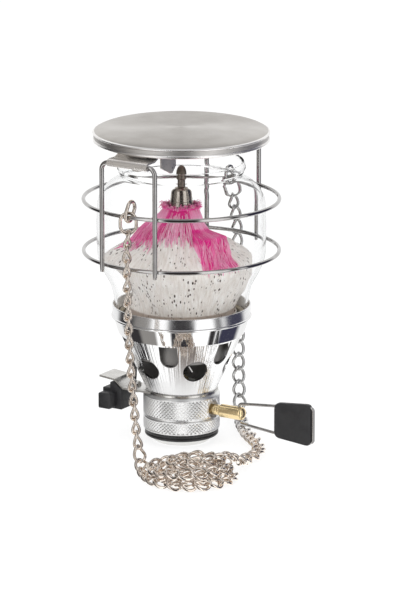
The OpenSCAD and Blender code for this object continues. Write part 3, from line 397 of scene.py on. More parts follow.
def marked(name, colour, soiled, soiling, metallic, smooth, rough, patch=60, grain=900, relief=0.02):
    """Finish with uneven tone, marks and grain. Gives its tree, shader, bump node, coordinates and tone."""
    tree, bsdf, place = new_finish(name)
    marks = add(tree, "Group", node_tree=FINISH_MARKS, Place=place, Colour=rgba(colour), Soiled=rgba(soiled),
                Soiling=soiling, Patch_Scale=patch, Grain_Scale=grain, Smooth=smooth, Rough=rough).outputs
    bump = add(tree, "Bump", Strength=relief, Distance=0.0004, Height=marks["Height"])
    fill(tree, bsdf, Base_Color=marks["Colour"], Roughness=marks["Roughness"], Normal=bump, Metallic=metallic)
    return tree, bsdf, bump, place, marks["Colour"]


def lay_under(tree, bump, height, strength, distance):
    """A coarser relief under the grain."""
    fill(tree, bump, Normal=add(tree, "Bump", Strength=strength, Distance=distance, Height=height))


def make_spun_steel():
    tree, bsdf, bump, place, _ = marked(
        "spun_steel", (0.54, 0.515, 0.485), (0.41, 0.38, 0.35), 0.3, 1.0, 0.27, 0.4, 45, 1400)
    rings = add(tree, "Group", node_tree=LATHE_RINGS, Place=place, Rings=5200.0, Waver=2.4)
    lay_under(tree, bump, rings, 0.16, 0.0002)
    fill(tree, bsdf, Tangent=add(tree, "Tangent", direction_type="RADIAL", axis="Z"), Anisotropic=0.84,
         Anisotropic_Rotation=0.25)


def make_drawn_chrome():
    tree, _, bump, place, _ = marked(
        "drawn_chrome", (0.86, 0.86, 0.86), (0.62, 0.61, 0.60), 0.25, 1.0, 0.03, 0.1, 70, 1500, 0.01)
    lines = add(tree, "Group", node_tree=DRAW_LINES, Place=place, Around=26.0, Upward=26.0, Waver=0.8)
    lay_under(tree, bump, lines, 0.34, 0.0009)


def make_nickel_chain():
    """Nickel wire: warm and dulled in front, with a painted cool grey light tint towards the rear stretch."""
    tree, bsdf, _, place, tone = marked(
        "nickel_chain", (0.98, 0.89, 0.8), (0.26, 0.195, 0.145), 0.5, 1.0, 0.03, 0.12, 260, 1800, 0.01)
    # Painted light: the rear stretch is tinted cool grey by its position, standing in for the light there,
    # not for another metal
    plain = sloped(tree, share_along(tree, place, AWAY), -0.02, 0.03, smooth=True)
    painted_shading_tint = two_tone(tree, plain, (1.0, 1.0, 1.0), (0.78, 0.865, 0.96))
    fill(tree, bsdf, Base_Color=two_tone(tree, 1.0, tone, painted_shading_tint, "MULTIPLY"))


def make_turned_brass():
    """Brass with rings about the spindle."""
    tree, _, bump, place, _ = marked(
        "turned_brass", (0.99, 0.79, 0.46), (0.84, 0.61, 0.31), 0.3, 1.0, 0.2, 0.32, 70, 1500, 0.01)
    centred = add(tree, "VectorMath", place, (0, 0, -SPINDLE_Z * MM), operation="ADD")
    turned = add(tree, "Mapping", Vector=centred, Rotation=(0, -math.pi / 2, 0))
    rings = add(tree, "Group", node_tree=LATHE_RINGS, Place=turned, Rings=4200.0, Waver=1.2)
    lay_under(tree, bump, rings, 0.06, 0.0002)


def make_clear_glass():
    """Thin glass: clear in the middle, with painted shade that greys it at a grazing angle, faintly rippled.
    Light passes it unbent.
    """
    tree, bsdf, place = new_finish("clear_glass")
    facing = add(tree, "LayerWeight", Blend=0.25).outputs["Facing"]
    # Painted shade: a grey tint at grazing angles stands in for the dark surroundings seen in the glass's
    # edges
    painted_shading_tint = two_tone(tree, combined(tree, "POWER", facing, 3.0), (0.998, 1.0, 1.0), (0.45, 0.46, 0.47))
    ripple = noise(tree, place, 55.0, 2.0)
    fill(tree, bsdf, Base_Color=painted_shading_tint, Transmission_Weight=1.0, IOR=1.09,
         Normal=add(tree, "Bump", Strength=0.05, Distance=0.0015, Height=ripple),
         Roughness=sloped(tree, ripple, 0.0, 1.0, 0.0, 0.02))
    path = add(tree, "LightPath").outputs
    unseen = combined(tree, "MAXIMUM", path["Is Shadow Ray"], path["Is Diffuse Ray"])
    through = add(tree, "MixShader", unseen, bsdf, add(tree, "BsdfTransparent"))
    fill(tree, tree.nodes["Material Output"], Surface=through)


def make_mantle_cloth():
    """Open knit: off-white strands, a dyed zone from the mesh's own masks and small holes. Painted shade
    darkens the cloth below the collar's rim, in brown specks round the holes, and on the whole inside.
    """
    tree, bsdf, place = new_finish("mantle_cloth")
    uv = add(tree, "UVMap", uv_map="knit")
    dye = add(tree, "Attribute", attribute_name="dye").outputs["Fac"]
    deep = add(tree, "Attribute", attribute_name="deep").outputs["Fac"]

    def mapped(across, along, turn):
        return add(tree, "Mapping", Vector=uv, Rotation=(0, 0, turn), Scale=(across, along, 1.0))

    def streaks(across, along, detail, turn=0.0):
        return noise(tree, mapped(across, along, turn), 1.0, detail, 0.6)

    strands = sloped(tree, streaks(0.95, 0.15, 3.0, 0.12), 0.3, 0.7)
    clumps = streaks(0.12, 0.07, 2.0, 0.3)
    white = two_tone(tree, strands, (0.80, 0.745, 0.70), (1.0, 0.985, 0.965))
    shade = two_tone(tree, sloped(tree, clumps, 0.35, 0.65), (0.94, 0.92, 0.90), (1.0, 1.0, 1.0))
    white = two_tone(tree, 1.0, white, shade, "MULTIPLY")
    fine = streaks(1.3, 0.06, 2.0)
    pale = two_tone(tree, fine, (0.94, 0.24, 0.55), (1.0, 0.74, 0.85))
    rich = two_tone(tree, fine, (0.62, 0.0, 0.16), (0.93, 0.045, 0.36))
    streaked = combined(tree, "ADD", deep, sloped(tree, fine, 0.3, 0.7, -0.32, 0.32))
    pink = two_tone(tree, sloped(tree, streaked, 0.25, 0.75, smooth=True), pale, rich)
    ragged = sloped(tree, streaks(1.0, 0.05, 2.0), 0.2, 0.8, -0.5, 0.5)
    dyed = sloped(tree, combined(tree, "ADD", dye, ragged), 0.42, 0.58, smooth=True)
    cloth = two_tone(tree, dyed, white, pink)
    height = add(tree, "SeparateXYZ", place).outputs["Z"]
    # Painted shade: the cloth turns brown below the collar's rim, where it goes down into the collar
    hem = sloped(tree, height, (RIM_Z - 0.2) * MM, (RIM_Z - 1.4) * MM, 0.0, 0.7, smooth=True)
    cloth = two_tone(tree, hem, cloth, (0.30, 0.20, 0.14))
    # Painted shade: the cloth's inside, also seen through the holes, is near black
    inside = add(tree, "NewGeometry").outputs["Backfacing"]
    cloth = two_tone(tree, inside, cloth, (0.05, 0.035, 0.03))
    # Holes stand in slanted columns and only in some patches
    cells = add(tree, "TexVoronoi", Vector=mapped(1.0, 0.4, 0.22), Scale=1.0, Randomness=0.6).outputs
    chance = add(tree, "SeparateColor", cells["Color"]).outputs[0]
    patch = sloped(tree, clumps, 0.4, 0.56, -0.25, 0.25)
    size = sloped(tree, combined(tree, "ADD", chance, patch), 0.35, 1.0, 0.0, 0.4)
    hole = combined(tree, "LESS_THAN", cells["Distance"], combined(tree, "MULTIPLY", size, 0.8))
    # Painted shade: brown specks round each hole, and faint ones on the dye, stand in for the dark seen
    # through the open knit
    hole_shade = combined(tree, "LESS_THAN", cells["Distance"], size)
    faint = combined(tree, "MULTIPLY", hole_shade, sloped(tree, dyed, 0.0, 1.0, 0.75, 0.2))
    cloth = two_tone(tree, faint, cloth, (0.30, 0.205, 0.165))
    hole = combined(tree, "MULTIPLY", hole, combined(tree, "LESS_THAN", dyed, 0.5))
    relief = combined(tree, "ADD", combined(tree, "MULTIPLY", cells["Distance"], 0.7), strands)
    fill(tree, bsdf, Base_Color=cloth, Alpha=combined(tree, "SUBTRACT", 1.0, hole),
         Normal=add(tree, "Bump", Strength=0.6, Distance=0.0006, Height=relief), Roughness=0.85,
         Sheen_Weight=0.3, Specular_IOR_Level=0.2)


def make_dyed_thread():
    """Loose dyed strands: each strand's own tone runs from magenta to pale pink."""
    tree, bsdf, _, _, first = marked(
        "dyed_thread", (0.72, 0.012, 0.26), (0.94, 0.15, 0.50), 0.9, 0.0, 0.6, 0.85, 900, 2500, 0.2)
    tone = add(tree, "Attribute", attribute_name="tone").outputs["Fac"]
    pale = two_tone(tree, sloped(tree, tone, 0.0, 1.0, 0.0, 0.75), first, (0.97, 0.80, 0.86))
    fill(tree, bsdf, Base_Color=pale, Sheen_Weight=0.3)


make_spun_steel()
make_drawn_chrome()
make_nickel_chain()
make_turned_brass()
make_clear_glass()
make_mantle_cloth()
make_dyed_thread()
# Plain finishes: name, colour, soiled colour, soiling, metallic, smooth, rough, patch, grain, relief
for row in (
        ("bright_chrome", (0.87, 0.87, 0.87), (0.66, 0.65, 0.63), 0.2, 1.0, 0.03, 0.1, 60, 900, 0.008),
        ("soft_chrome", (0.84, 0.84, 0.845), (0.62, 0.61, 0.60), 0.25, 1.0, 0.12, 0.22, 60, 1500),
        ("raw_inside", (0.36, 0.35, 0.34), (0.22, 0.21, 0.20), 0.5, 0.55, 0.4, 0.6, 90, 1200),
        # pale_inside is a matte pale copy of the collar's chrome: painted light on the shaded inside of its
        # upper band
        ("pale_inside", (0.92, 0.91, 0.895), (0.74, 0.725, 0.7), 0.3, 0.1, 0.34, 0.52, 80, 1500),
        # spun_edge_highlight is a brighter copy of the spun steel: painted highlight lines on the cap's bead
        # and hem
        ("spun_edge_highlight", (0.95, 0.935, 0.92), (0.7, 0.675, 0.65), 0.25, 1.0, 0.24, 0.34, 60, 1500),
        ("spun_band", (0.64, 0.62, 0.6), (0.5, 0.475, 0.45), 0.3, 1.0, 0.36, 0.5, 60, 1500),
        ("polished_wire", (0.53, 0.52, 0.515), (0.27, 0.255, 0.24), 0.4, 1.0, 0.02, 0.06, 130, 1600, 0.01),
        ("dull_steel", (0.86, 0.825, 0.79), (0.58, 0.54, 0.5), 0.4, 0.92, 0.22, 0.36, 110, 1200, 0.03),
        ("plated_steel", (0.70, 0.69, 0.67), (0.45, 0.43, 0.40), 0.35, 1.0, 0.16, 0.3, 120),
        ("burnt_steel", (0.24, 0.205, 0.175), (0.13, 0.105, 0.085), 0.6, 1.0, 0.36, 0.55, 220, 1300, 0.05),
        ("dull_nickel", (0.50, 0.455, 0.41), (0.28, 0.245, 0.21), 0.5, 1.0, 0.1, 0.24, 160, 1300, 0.04),
        ("knurl_aluminium", (0.93, 0.93, 0.925), (0.80, 0.80, 0.79), 0.25, 1.0, 0.3, 0.42, 150, 1800, 0.03),
        ("pale_foot", (0.86, 0.855, 0.84), (0.66, 0.65, 0.62), 0.3, 1.0, 0.2, 0.34),
        ("bare_thread", (0.82, 0.78, 0.73), (0.62, 0.57, 0.51), 0.6, 0.0, 0.7, 0.9, 500, 2200, 0.2),
        ("black_plastic", (0.018, 0.018, 0.02), (0.05, 0.05, 0.052), 0.5, 0.0, 0.36, 0.56, 140, 2600, 0.25),
        ("black_rubber", (0.012, 0.012, 0.012), (0.04, 0.04, 0.04), 0.4, 0.0, 0.26, 0.45, 160, 2000, 0.12),
        ("glazed_ceramic", (0.86, 0.83, 0.76), (0.62, 0.56, 0.46), 0.3, 0.0, 0.12, 0.3, 60, 900, 0.03),
        ("gasket_fibre", (0.55, 0.49, 0.38), (0.34, 0.29, 0.21), 0.6, 0.0, 0.7, 0.9, 300, 2200, 0.3)):
    marked(*row)


# Camera
def set_camera():
    """Long lens at the photograph's angle, for a picture 601 px high."""
    distance, px_per_mm, picture_h, sensor_h = 2500.0, 1.9115, 601, 36.0
    level = math.cos(CAMERA_RISE)
    back = Vector((math.sin(CAMERA_TURN) * level, -math.cos(CAMERA_TURN) * level, math.sin(CAMERA_RISE)))
    right = Vector((math.cos(CAMERA_TURN), math.sin(CAMERA_TURN), 0))
    target = right * 9.95 + Vector((0, 0, 75.1))
    data = bpy.data.cameras.new("photo_camera")
    data.sensor_fit = "VERTICAL"
    data.sensor_height = sensor_h
    data.lens = px_per_mm * distance / picture_h * sensor_h
    data.clip_start, data.clip_end = 0.05, 50
    camera = new_object("photo_camera", data)
    camera.location = (target + back * distance) * MM
    camera.rotation_euler = back.to_track_quat("Z", "Y").to_euler()
    bpy.context.scene.camera = camera


set_camera()

# Chain
PITCH, LINK_W, LINK_WIRE, LINK_TWIST = 7.5, 7.0, 1.1, math.radians(45)
SEEN_WIRE, SEEN_MORE = 1.65, 0.25
HEAP_ROLL, HEAP_STIR, TABLE_GAP = math.radians(30), math.radians(14), 0.05
DROP_WIRE, DROP_W, BIG_L, END_WIRE, END_W = 1.5, 9.7, 12.2, 1.7, 8.4
END_LEAN = math.radians(32)
RING_WIRE = 0.95
WIRE_GAP = 0.15
JOINT_OVER = (LINK_WIRE + 0.4) / 2
DROP_RISE = RING_WIRE + DROP_WIRE / 2 + 4 * WIRE_GAP
DROP_HALF = (BIG_L - DROP_WIRE) / 2
DROP_FOOT = GUARD_HIGH_Z + DROP_RISE - 2 * DROP_HALF + DROP_WIRE / 2
CHAIN_TOP = DROP_FOOT + LINK_WIRE / 2 + WIRE_GAP - JOINT_OVER - 0.1
FLOOR_Z, LAYER_H, HANG_Y = 1.8, 3.6, 56.0
HEAP_X, HEAP_Y = 45.0, -60.0


def heap_point(p):
    c, s = math.cos(CAMERA_TURN), math.sin(CAMERA_TURN)
    return (HEAP_X + p[0] * c - p[1] * s, HEAP_Y + p[0] * s + p[1] * c, p[2])


def climb(k, start, points):
    return LAYER_H * min(1, max(0, (k - start) / points))


def turn_point(degrees, radius, height):
    return polar(radius, math.radians(degrees), FLOOR_Z + height)


def chain_route():
    """The same points as in the part's source: front drop, heap, run on the table, rear rise."""
    front = [(0, -51, CHAIN_TOP), (0.6, -53, CHAIN_TOP - 8), (2.2, -HANG_Y, GUARD_LOW_Z), (3.2, -HANG_Y, 70),
             (5, -HANG_Y, 45), (6.5, -HANG_Y, 30), (8.5, -57, 17), (12.5, -60, 7), (18, -66.5, 2.6)]
    lower = [turn_point(190 + 28 * k, 23.5 - 0.58 * k, climb(k, 18, 5)) for k in range(24)]
    middle = [turn_point(144 + 30 * k, 10.4 + min(8, k) + 0.5 * max(0, k - 8), LAYER_H + climb(k, 12, 4))
              for k in range(17)]
    top = [turn_point(a, r, 2 * LAYER_H + z) for a, r, z in (
        (294, 20.5, 0), (326, 17, 0), (2, 14, 0), (42, 12.2, 0), (84, 11.2, 0), (128, 10.8, 0),
        (170, 11.4, 0.5), (208, 12.2, 1.4), (240, 12.8, 2.3))]
    top += [(0.5, -12.8, 12.2), (7.5, -10, 12.7), (13.8, -4, 12.7), (19.5, 5.5, 10.4), (24, 12.5, 6.4),
            (26, 19.5, 2.8)]
    rear = [(53, -24, FLOOR_Z), (54, -14, FLOOR_Z), (50, -4, FLOOR_Z), (43, 6, FLOOR_Z), (34, 14, FLOOR_Z),
            (25, 23, FLOOR_Z), (17, 33, FLOOR_Z), (10, 43, FLOOR_Z), (5, 51, 3), (1.6, 55.6, 8),
            (0.4, 57, 16), (0, 57, 30), (0, 57, 60), (0, HANG_Y, GUARD_LOW_Z), (0, 53, CHAIN_TOP - 8),
            (0, 51, CHAIN_TOP)]
    return smooth_line(front + [heap_point(p) for p in lower + middle + top] + rear, 24)


def chain_joints(line):
    """Points one pitch apart along the line, the last one at its end."""
    def walk(step):
        found, i = [line[0]], 1
        while i < len(line):
            d = np.linalg.norm(line[i] - found[-1])
            if d < step:
                i += 1
                continue
            before = np.linalg.norm(line[i - 1] - found[-1])
            found.append(line[i - 1] + (step - before) / (d - before) * (line[i] - line[i - 1]))
        return found, (len(found) - 1) * step + np.linalg.norm(line[-1] - found[-1])

    walked = walk(PITCH)[1]
    count = round(walked / PITCH)
    walked = walk(walked / count)[1]
    return walk(walked / count)[0][:count] + [line[-1]]


def link_ways(joints, i):
    """A link's own axes: hanging links turn slowly, lying links lie flat with some roll."""
    count = len(joints) - 1
    t = unit(joints[i + 1] - joints[i])
    flat = math.hypot(t[0], t[1])
    a = math.radians(110 - 0.5 * i if i < count / 2 else 77 - 2 * (count - 1 - i))
    hang = np.array((math.cos(a), math.sin(a), 0))
    lie = hang if flat < 0.05 else np.cross((0, 0, 1), t) / flat
    if np.dot(lie, hang) < 0:
        lie = -lie
    k = min(1, max(0, (flat - 0.3) / 0.6))
    w = (1 - k) * hang + k * lie
    w = unit(w - np.dot(w, t) * t)
    n = np.cross(t, w)
    roll = k * (HEAP_ROLL * np.dot(w, AWAY) * n[2] + HEAP_STIR * math.sin(1.7 * i))
    w = math.cos(roll) * w + math.sin(roll) * n
    return w, np.cross(t, w), t


def curb_link():
    """One twisted oval link about its own axes."""
    half_l = PITCH / 2 + JOINT_OVER + 0.05
    half_w = (LINK_W - LINK_WIRE) / 2
    spine = [polar(half_w * math.sin(a), LINK_TWIST * math.cos(a), half_l * math.cos(a))
             for a in turns(26)]
    return rod(spine, SEEN_WIRE / 2, 10, closed=True)


def hang_chain():
    joints = chain_joints(chain_route())
    link_v, link_f = curb_link()
    parts = []
    for i in range(len(joints) - 1):
        link = (joints[i] + joints[i + 1]) / 2 + np.array(link_v) @ np.array(link_ways(joints, i))
        link[:, 2] += max(0, TABLE_GAP - link[:, 2].min())
        parts.append((link.tolist(), link_f))
    chain = lay_mesh("hanging_chain", merged(*parts), "nickel_chain",
                     ("chain_front", "chain_heap", "chain_rear"), sharp=80)
    length = sum(np.linalg.norm(b - a) for a, b in zip(joints, joints[1:])) * MM
    tuple(float(v) * MM for v in joints[0])
    [tuple(float(x) * MM for x in p) for p in joints]


def big_link(width, wire):
    """Plain oval link that stands in the XZ plane."""
    bow, side = (width - wire) / 2, (BIG_L - width) / 2
    path = []
    for end in (1, -1):
        for a in np.linspace(0, math.pi, 21):
            path.append((end * bow * math.cos(a), 0, end * (side + bow * math.sin(a))))
    return rod(path, (wire + SEEN_MORE) / 2, 16, closed=True)


def big_links():
    """End link that leans on the guard ring and the drop link below it, at both ends of the chain."""
    c, s = math.cos(END_LEAN), math.sin(END_LEAN)
    up = (BIG_L - END_WIRE) / 2 - (RING_WIRE + END_WIRE / 2 + WIRE_GAP)
    v, f = turned_about(math.pi / 2, big_link(END_W, END_WIRE))
    leaning = [(x, y * c + (z + up) * s, (z + up) * c - y * s) for x, y, z in v]
    end = moved((leaning, f), (0, -GUARD_R, GUARD_HIGH_Z))
    hanging = turned_about(CAMERA_TURN, big_link(DROP_W, DROP_WIRE))
    drop = moved(hanging, (0, -GUARD_R, GUARD_HIGH_Z + DROP_RISE - DROP_HALF))
    for name, node, link in (("end_links", "chain_end_links", end), ("drop_links", "chain_drop_links", drop)):
        both = merged(link, turned_about(math.pi, link))
        lay_mesh(name, both, "nickel_chain", (node,), sharp=80)


hang_chain()
big_links()

# Cap and guard
FRAME_WIRE, SEEN_RING = 1.25, RING_WIRE + 0.1


def spin_cap():
    """Spun disc: faint dome, sloped rim with a bead, upright band and a rolled hem."""
    edge_r, hem_r = 45.3, 0.75
    bead_z, band_z = CROWN_Z - 2.35, HEM_Z + 1.5
    drops = [(0, 0), (12, 0.03), (24, 0.1), (34, 0.22), (39.5, 0.36), (42, 0.62), (43.8, 1.1), (45.0, 1.7),
             (45.55, 2.0), (46.1, 2.3), (46.15, 2.75), (45.7, 3.1), (45.6, 3.4), (45.6, 3.8)]
    top = [(x, CROWN_Z - drop) for x, drop in drops] + [(45.6, HEM_Z + 2.1), (45.5, HEM_Z + 1.6)]
    hem = arc(46.0 - hem_r, HEM_Z + hem_r, hem_r, np.linspace(0.5, -math.pi, 12))
    inside = [(44.75, HEM_Z + 2.2), (44.7, HEM_Z + 3.6), (44.0, CROWN_Z - 2.3), (42.6, CROWN_Z - 1.6),
              (0, CROWN_Z - 1.5)]
    cap = lay_mesh("spun_cap", lathe(smooth_line(top, 3) + hem + inside, 192, closed=False), "spun_steel",
                   ("top_cap",), sharp=50)

    # The bead and the hem take the brighter copy of the steel, a painted highlight
    def pick(r, z, _):
        if r <= edge_r:
            return 0
        return 1 if abs(z - bead_z) < 0.5 or z < band_z else 2

    add_finishes(cap, ("spun_edge_highlight", "spun_band"), pick)


def bend_frame_wires():
    """Two inverted U wires with rounded ends, and a weld where each leg meets a guard ring."""
    bend, low = 4.1, GUARD_LOW_Z - 3.4
    half = [(-LEG_X, low)] + [(-LEG_X, z) for z in np.linspace(low + 4, BAR_Z - bend, 8)]
    half += arc(bend - LEG_X, BAR_Z - bend, bend, np.linspace(math.pi - 0.12, math.pi / 2, 10))
    path = half + [(-x, z) for x, z in reversed(half)]
    wire = rod([(x, -LEG_Y, z) for x, z in path], FRAME_WIRE, 18, first=(0, 1, 0), dome=0.7)
    for name, node, turn in (("front_frame_wire", "frame_wire_front", 0),
                             ("rear_frame_wire", "frame_wire_rear", math.pi)):
        lay_mesh(name, turned_about(turn, wire), "polished_wire", (node,), sharp=60)
    half_bead = [(0, -0.7), (0.5, -0.55), (0.72, -0.2)]
    bead = lathe(half_bead + [(r, -z) for r, z in reversed(half_bead)], 12, closed=False)
    welds = [moved(bead, polar(GUARD_R + 1.02, math.atan2(sy * LEG_Y, sx * LEG_X), z))
             for sx in (-1, 1) for sy in (-1, 1) for z in (GUARD_LOW_Z, GUARD_HIGH_Z)]
    lay_mesh("guard_welds", merged(*welds), "polished_wire", sharp=60)


def roll_guard_rings():
    for name, node, z in (("upper_guard_ring", "guard_ring_upper", GUARD_HIGH_Z),
                          ("lower_guard_ring", "guard_ring_lower", GUARD_LOW_Z)):
        ring = rod([polar(GUARD_R, a, z) for a in turns(180)], SEEN_RING, closed=True)
        lay_mesh(name, ring, "polished_wire", (node,), sharp=60)


spin_cap()
bend_frame_wires()
roll_guard_rings()


# Glass, collar and funnel
def blow_globe():
    """Glass globe: foot, belly, shoulder, neck and rolled lip as one smooth curve of even wall."""
    wall = 1.2
    foot_r, belly_r, neck_r, lip_h = 34.6, 44.2, 31.6, 6.2
    h = GLOBE_H - lip_h - 1.4
    side = [(foot_r, 0), (foot_r + 0.3, 0.075 * h), (foot_r + 2.2, 0.21 * h), (belly_r - 3, 0.325 * h),
            (belly_r - 0.4, 0.43 * h), (belly_r, 0.6 * h), (belly_r - 0.4, 0.8 * h),
            (belly_r - 2.6, 0.885 * h), (0.5 * (belly_r + neck_r) - 0.4, 0.945 * h),
            (neck_r + 0.6, 0.985 * h), (neck_r + 0.3, h + 0.9), (neck_r + 1.3, h + 2.6),
            (neck_r + 1.9, h + 4.6), (neck_r + 1.5, h + 6.4), (neck_r + 0.9, GLOBE_H)]
    outer = smooth_line(side, 8)
    inner = []
    for i, p in enumerate(outer):
        t = unit(outer[min(i + 1, len(outer) - 1)] - outer[max(i - 1, 0)])
        inner.append(p + wall * np.array((-t[1], t[0])))
    tip = (outer[-1] + inner[-1]) / 2
    rim = [tip + (outer[-1] - tip) * math.cos(a) + np.array((0.15, 0.5)) * math.sin(a)
           for a in np.linspace(0.3, math.pi - 0.3, 6)]
    foot = [(foot_r - wall, 0.5), (foot_r - wall + 0.4, 0), (foot_r - 0.3, 0)]
    outline = outer[:-1] + rim + [p for p in inner[::-1] if p[1] > 0.8] + foot
    lay_mesh("blown_globe", lathe([(r, min(z, GLOBE_H) + GLOBE_Z) for r, z in outline], 160), "clear_glass",
             ("glass_globe",), sharp=70)


def press_collar():
    """Chromed cup: tapered lower band, rolled bead, upper band with a rolled rim, and the floor inside."""
    t = 0.8
    lip_r, band_r, floor_z = 33.1, 36.4, 60.4
    outside = [(lip_r, COLLAR_LIP_Z), (band_r - 0.9, BAND_Z - 1.5), (band_r - 0.75, BAND_Z - 0.95)]
    bead = arc(band_r - 0.2, BAND_Z - 0.25, 0.62, np.radians(np.arange(-80, 81, 16)))
    upper = [(band_r - 0.25, BAND_Z + 0.55), (band_r - 0.12, RIM_Z - 1.0)]
    rim = arc(band_r - 0.45, RIM_Z - 0.45, 0.45, np.radians(np.arange(-20, 200, 18)))
    ledge = [(band_r - t - 0.1, RIM_Z - 0.9), (band_r - t, BAND_Z + 0.4), (band_r - t - 0.2, BAND_Z - 0.2),
             (30.6, BAND_Z - 0.2), (30.6, BAND_Z - 1.0), (34.5, BAND_Z - 1.0), (33.1, floor_z + t)]
    floor = [(4.1, floor_z + t), (4.1, floor_z), (32.7, floor_z), (lip_r - t, COLLAR_LIP_Z + 0.1)]
    skirt = [(24.6, 46.5), (24.6, 60.5), (24.0, 60.5), (24.0, 46.5)]
    cup = lathe(outside + bead + upper + rim + ledge + floor, 192)
    collar = lay_mesh("pressed_collar", merged(cup, lathe(skirt, 96)), "bright_chrome",
                      ("globe_collar",))

    def pick(r, z, _):
        # The inside of the upper band takes the pale matte copy, painted light in its shade
        if z > BAND_Z + 0.35:
            return 3 if r < band_r - 0.6 else 2
        return 1 if r < lip_r - 0.6 and z < floor_z + 0.2 else 0

    add_finishes(collar, ("raw_inside", "soft_chrome", "pale_inside"), pick)


def vent_distance(x, y, z, vents):
    """Signed distance to the nearest vent's rim on the cone, negative inside."""
    best = 1e9
    for t, s, c, half, rise in vents:
        if x * c[0] + y * c[1] < 0:
            continue
        u = x * t[0] + y * t[1]
        v = (x - c[0]) * s[0] + (y - c[1]) * s[1] + (z - c[2]) * s[2]
        slot = rise > 0 and v > 0
        best = min(best, max(abs(u) - half, v - rise) if slot else math.hypot(u, v) - half)
    return best


def punch_funnel():
    """Cone of thin sheet with a row of round vents and a row of slots, cut square to its surface."""
    foot_r, top_r, sheet = 18.6, 32.3, 0.8
    low, high = FUNNEL_Z, COLLAR_LIP_Z + 0.6
    slope = (top_r - foot_r) / (COLLAR_LIP_Z - FUNNEL_Z)
    tilt = math.hypot(1, slope)
    around, rows = 420, 62

    def on_cone(a, z, inset=0.0):
        return polar(foot_r + (z - FUNNEL_Z) * slope - inset, a, z)

    vents = []
    for k in range(6):
        for angle, z, half, rise in ((-41, FUNNEL_Z + 14.8, 6.5, 0.0), (-11, COLLAR_LIP_Z - 9, 4.9, 8.6)):
            a = math.radians(angle + 60 * k)
            across, upward = polar(1, a + math.pi / 2, 0), polar(slope / tilt, a, 1 / tilt)
            vents.append((across, upward, on_cone(a, z), half, rise))

    def depth(a, z):
        return vent_distance(*on_cone(a, z), vents)

    grid = {(j, i): (a, low + (high - low) * j / rows)
            for j in range(rows + 1) for i, a in enumerate(turns(around))}
    depths = {key: depth(*place) for key, place in grid.items()}
    cells = []
    for j in range(rows):
        for i in range(around):
            i2 = (i + 1) % around
            cell = ((j, i), (j, i2), (j + 1, i2), (j + 1, i))
            if sum(depths[key] for key in cell) > 0:
                cells.append(cell)
    places, index = [], {}
    for (j, i), used in Counter(key for cell in cells for key in cell).items():
        a, z = grid[(j, i)]
        within = 0 < j < rows
        # Rim points slide over the cone onto the vent's outline
        for _ in range(6 if used < (4 if within else 2) else 0):
            d, e = depth(a, z), 0.02
            r = foot_r + (z - FUNNEL_Z) * slope
            ga = (depth(a + e / r, z) - d) / e
            gz = (depth(a, z + e) - d) / e
            norm = ga * ga + gz * gz
            if norm < 1e-6 or abs(d) < 1e-4:
                break
            a -= d * ga / norm / r
            if within:
                z -= d * gz / norm
        index[(j, i)] = len(places)
        places.append((a, z))
    points = [on_cone(a, z) for a, z in places]
    for a, z in places:
        x, y, _ = on_cone(a, z, sheet / tilt)
        points.append((x, y, z if z < low + 0.01 else z + sheet * slope / tilt))
    count = len(places)
    outer = [tuple(index[key] for key in cell) for cell in cells]
    faces = [face for loop in outer for face in (loop, tuple(count + v for v in reversed(loop)))]
    faces += [(b, a, count + a, count + b) for a, b in open_edges(outer)]
    flange = lathe([(7.9, FUNNEL_Z), (17.6, FUNNEL_Z), (17.6, FUNNEL_Z + 0.8), (7.9, FUNNEL_Z + 0.8)], 96)
    funnel = lay_mesh("vented_funnel", merged((points, faces), flange), "drawn_chrome",
                      ("vent_funnel",), sharp=42)
    add_finishes(funnel, ("raw_inside",),
                 lambda r, z, face: int(face.center.xy.dot(face.normal.xy) < -0.5 * face.center.xy.length))


blow_globe()
press_collar()
punch_funnel()

# Knurled body and base
TEETH, KNURL_DEPTH, KNURL_STEP = 64, 0.36, 2.0
GLAND_R, GLAND_X, GLAND_FACE = 4.6, 12.3, BODY_R - 0.17


def knurled_drum(name, node, below, above, low, high, gland=False):
    """Turned drum, knurled from low to high, with plain edges below and above. gland cuts a round hole."""
    columns = 2 * TEETH
    steps = max(2, 2 * round((high - low) / KNURL_STEP))
    knurl = [[(BODY_R - (0.0 if (i + j) % 2 else KNURL_DEPTH), low + (high - low) * j / steps)
              for i in range(columns)] for j in range(steps + 1)]
    rows = [[p] * columns for p in below] + knurl + [[p] * columns for p in above]
    verts = [polar(r, a, z) for row in rows for a, (r, z) in zip(turns(columns), row)]

    def off_gland(v):
        return 9e9 if v[0] < 0 else math.hypot(v[1], v[2] - SPINDLE_Z) - GLAND_R

    faces, rim = [], set()
    for number, quad in enumerate(skin(len(rows), columns, closed=True)):
        j, i = divmod(number, columns)
        j -= len(below)
        a, b, c, d = quad
        if gland and verts[a][0] > GLAND_X - 0.3 and sum(off_gland(verts[q]) for q in quad) < 0:
            rim.update(quad)
        elif 0 <= j < steps:
            faces += [(a, b, d), (b, c, d)] if (i + j) % 2 else [(a, b, c), (a, c, d)]
        else:
            faces.append(quad)
    for v in rim & {v for face in faces for v in face}:
        y, z = verts[v][1], verts[v][2] - SPINDLE_Z
        d = math.hypot(y, z)
        y, z = y / d * GLAND_R, z / d * GLAND_R
        verts[v] = (math.sqrt(max(0, GLAND_FACE ** 2 - y * y)), y, z + SPINDLE_Z)
    deep = {}
    for edge in open_edges(faces):
        for v in edge:
            if v not in deep:
                deep[v] = len(verts)
                verts.append((GLAND_X, verts[v][1], verts[v][2]))
        a, b = edge
        faces.append((b, a, deep[a], deep[b]))
    lay_mesh(name, (verts, faces), "knurl_aluminium", (node,), sharp=22)


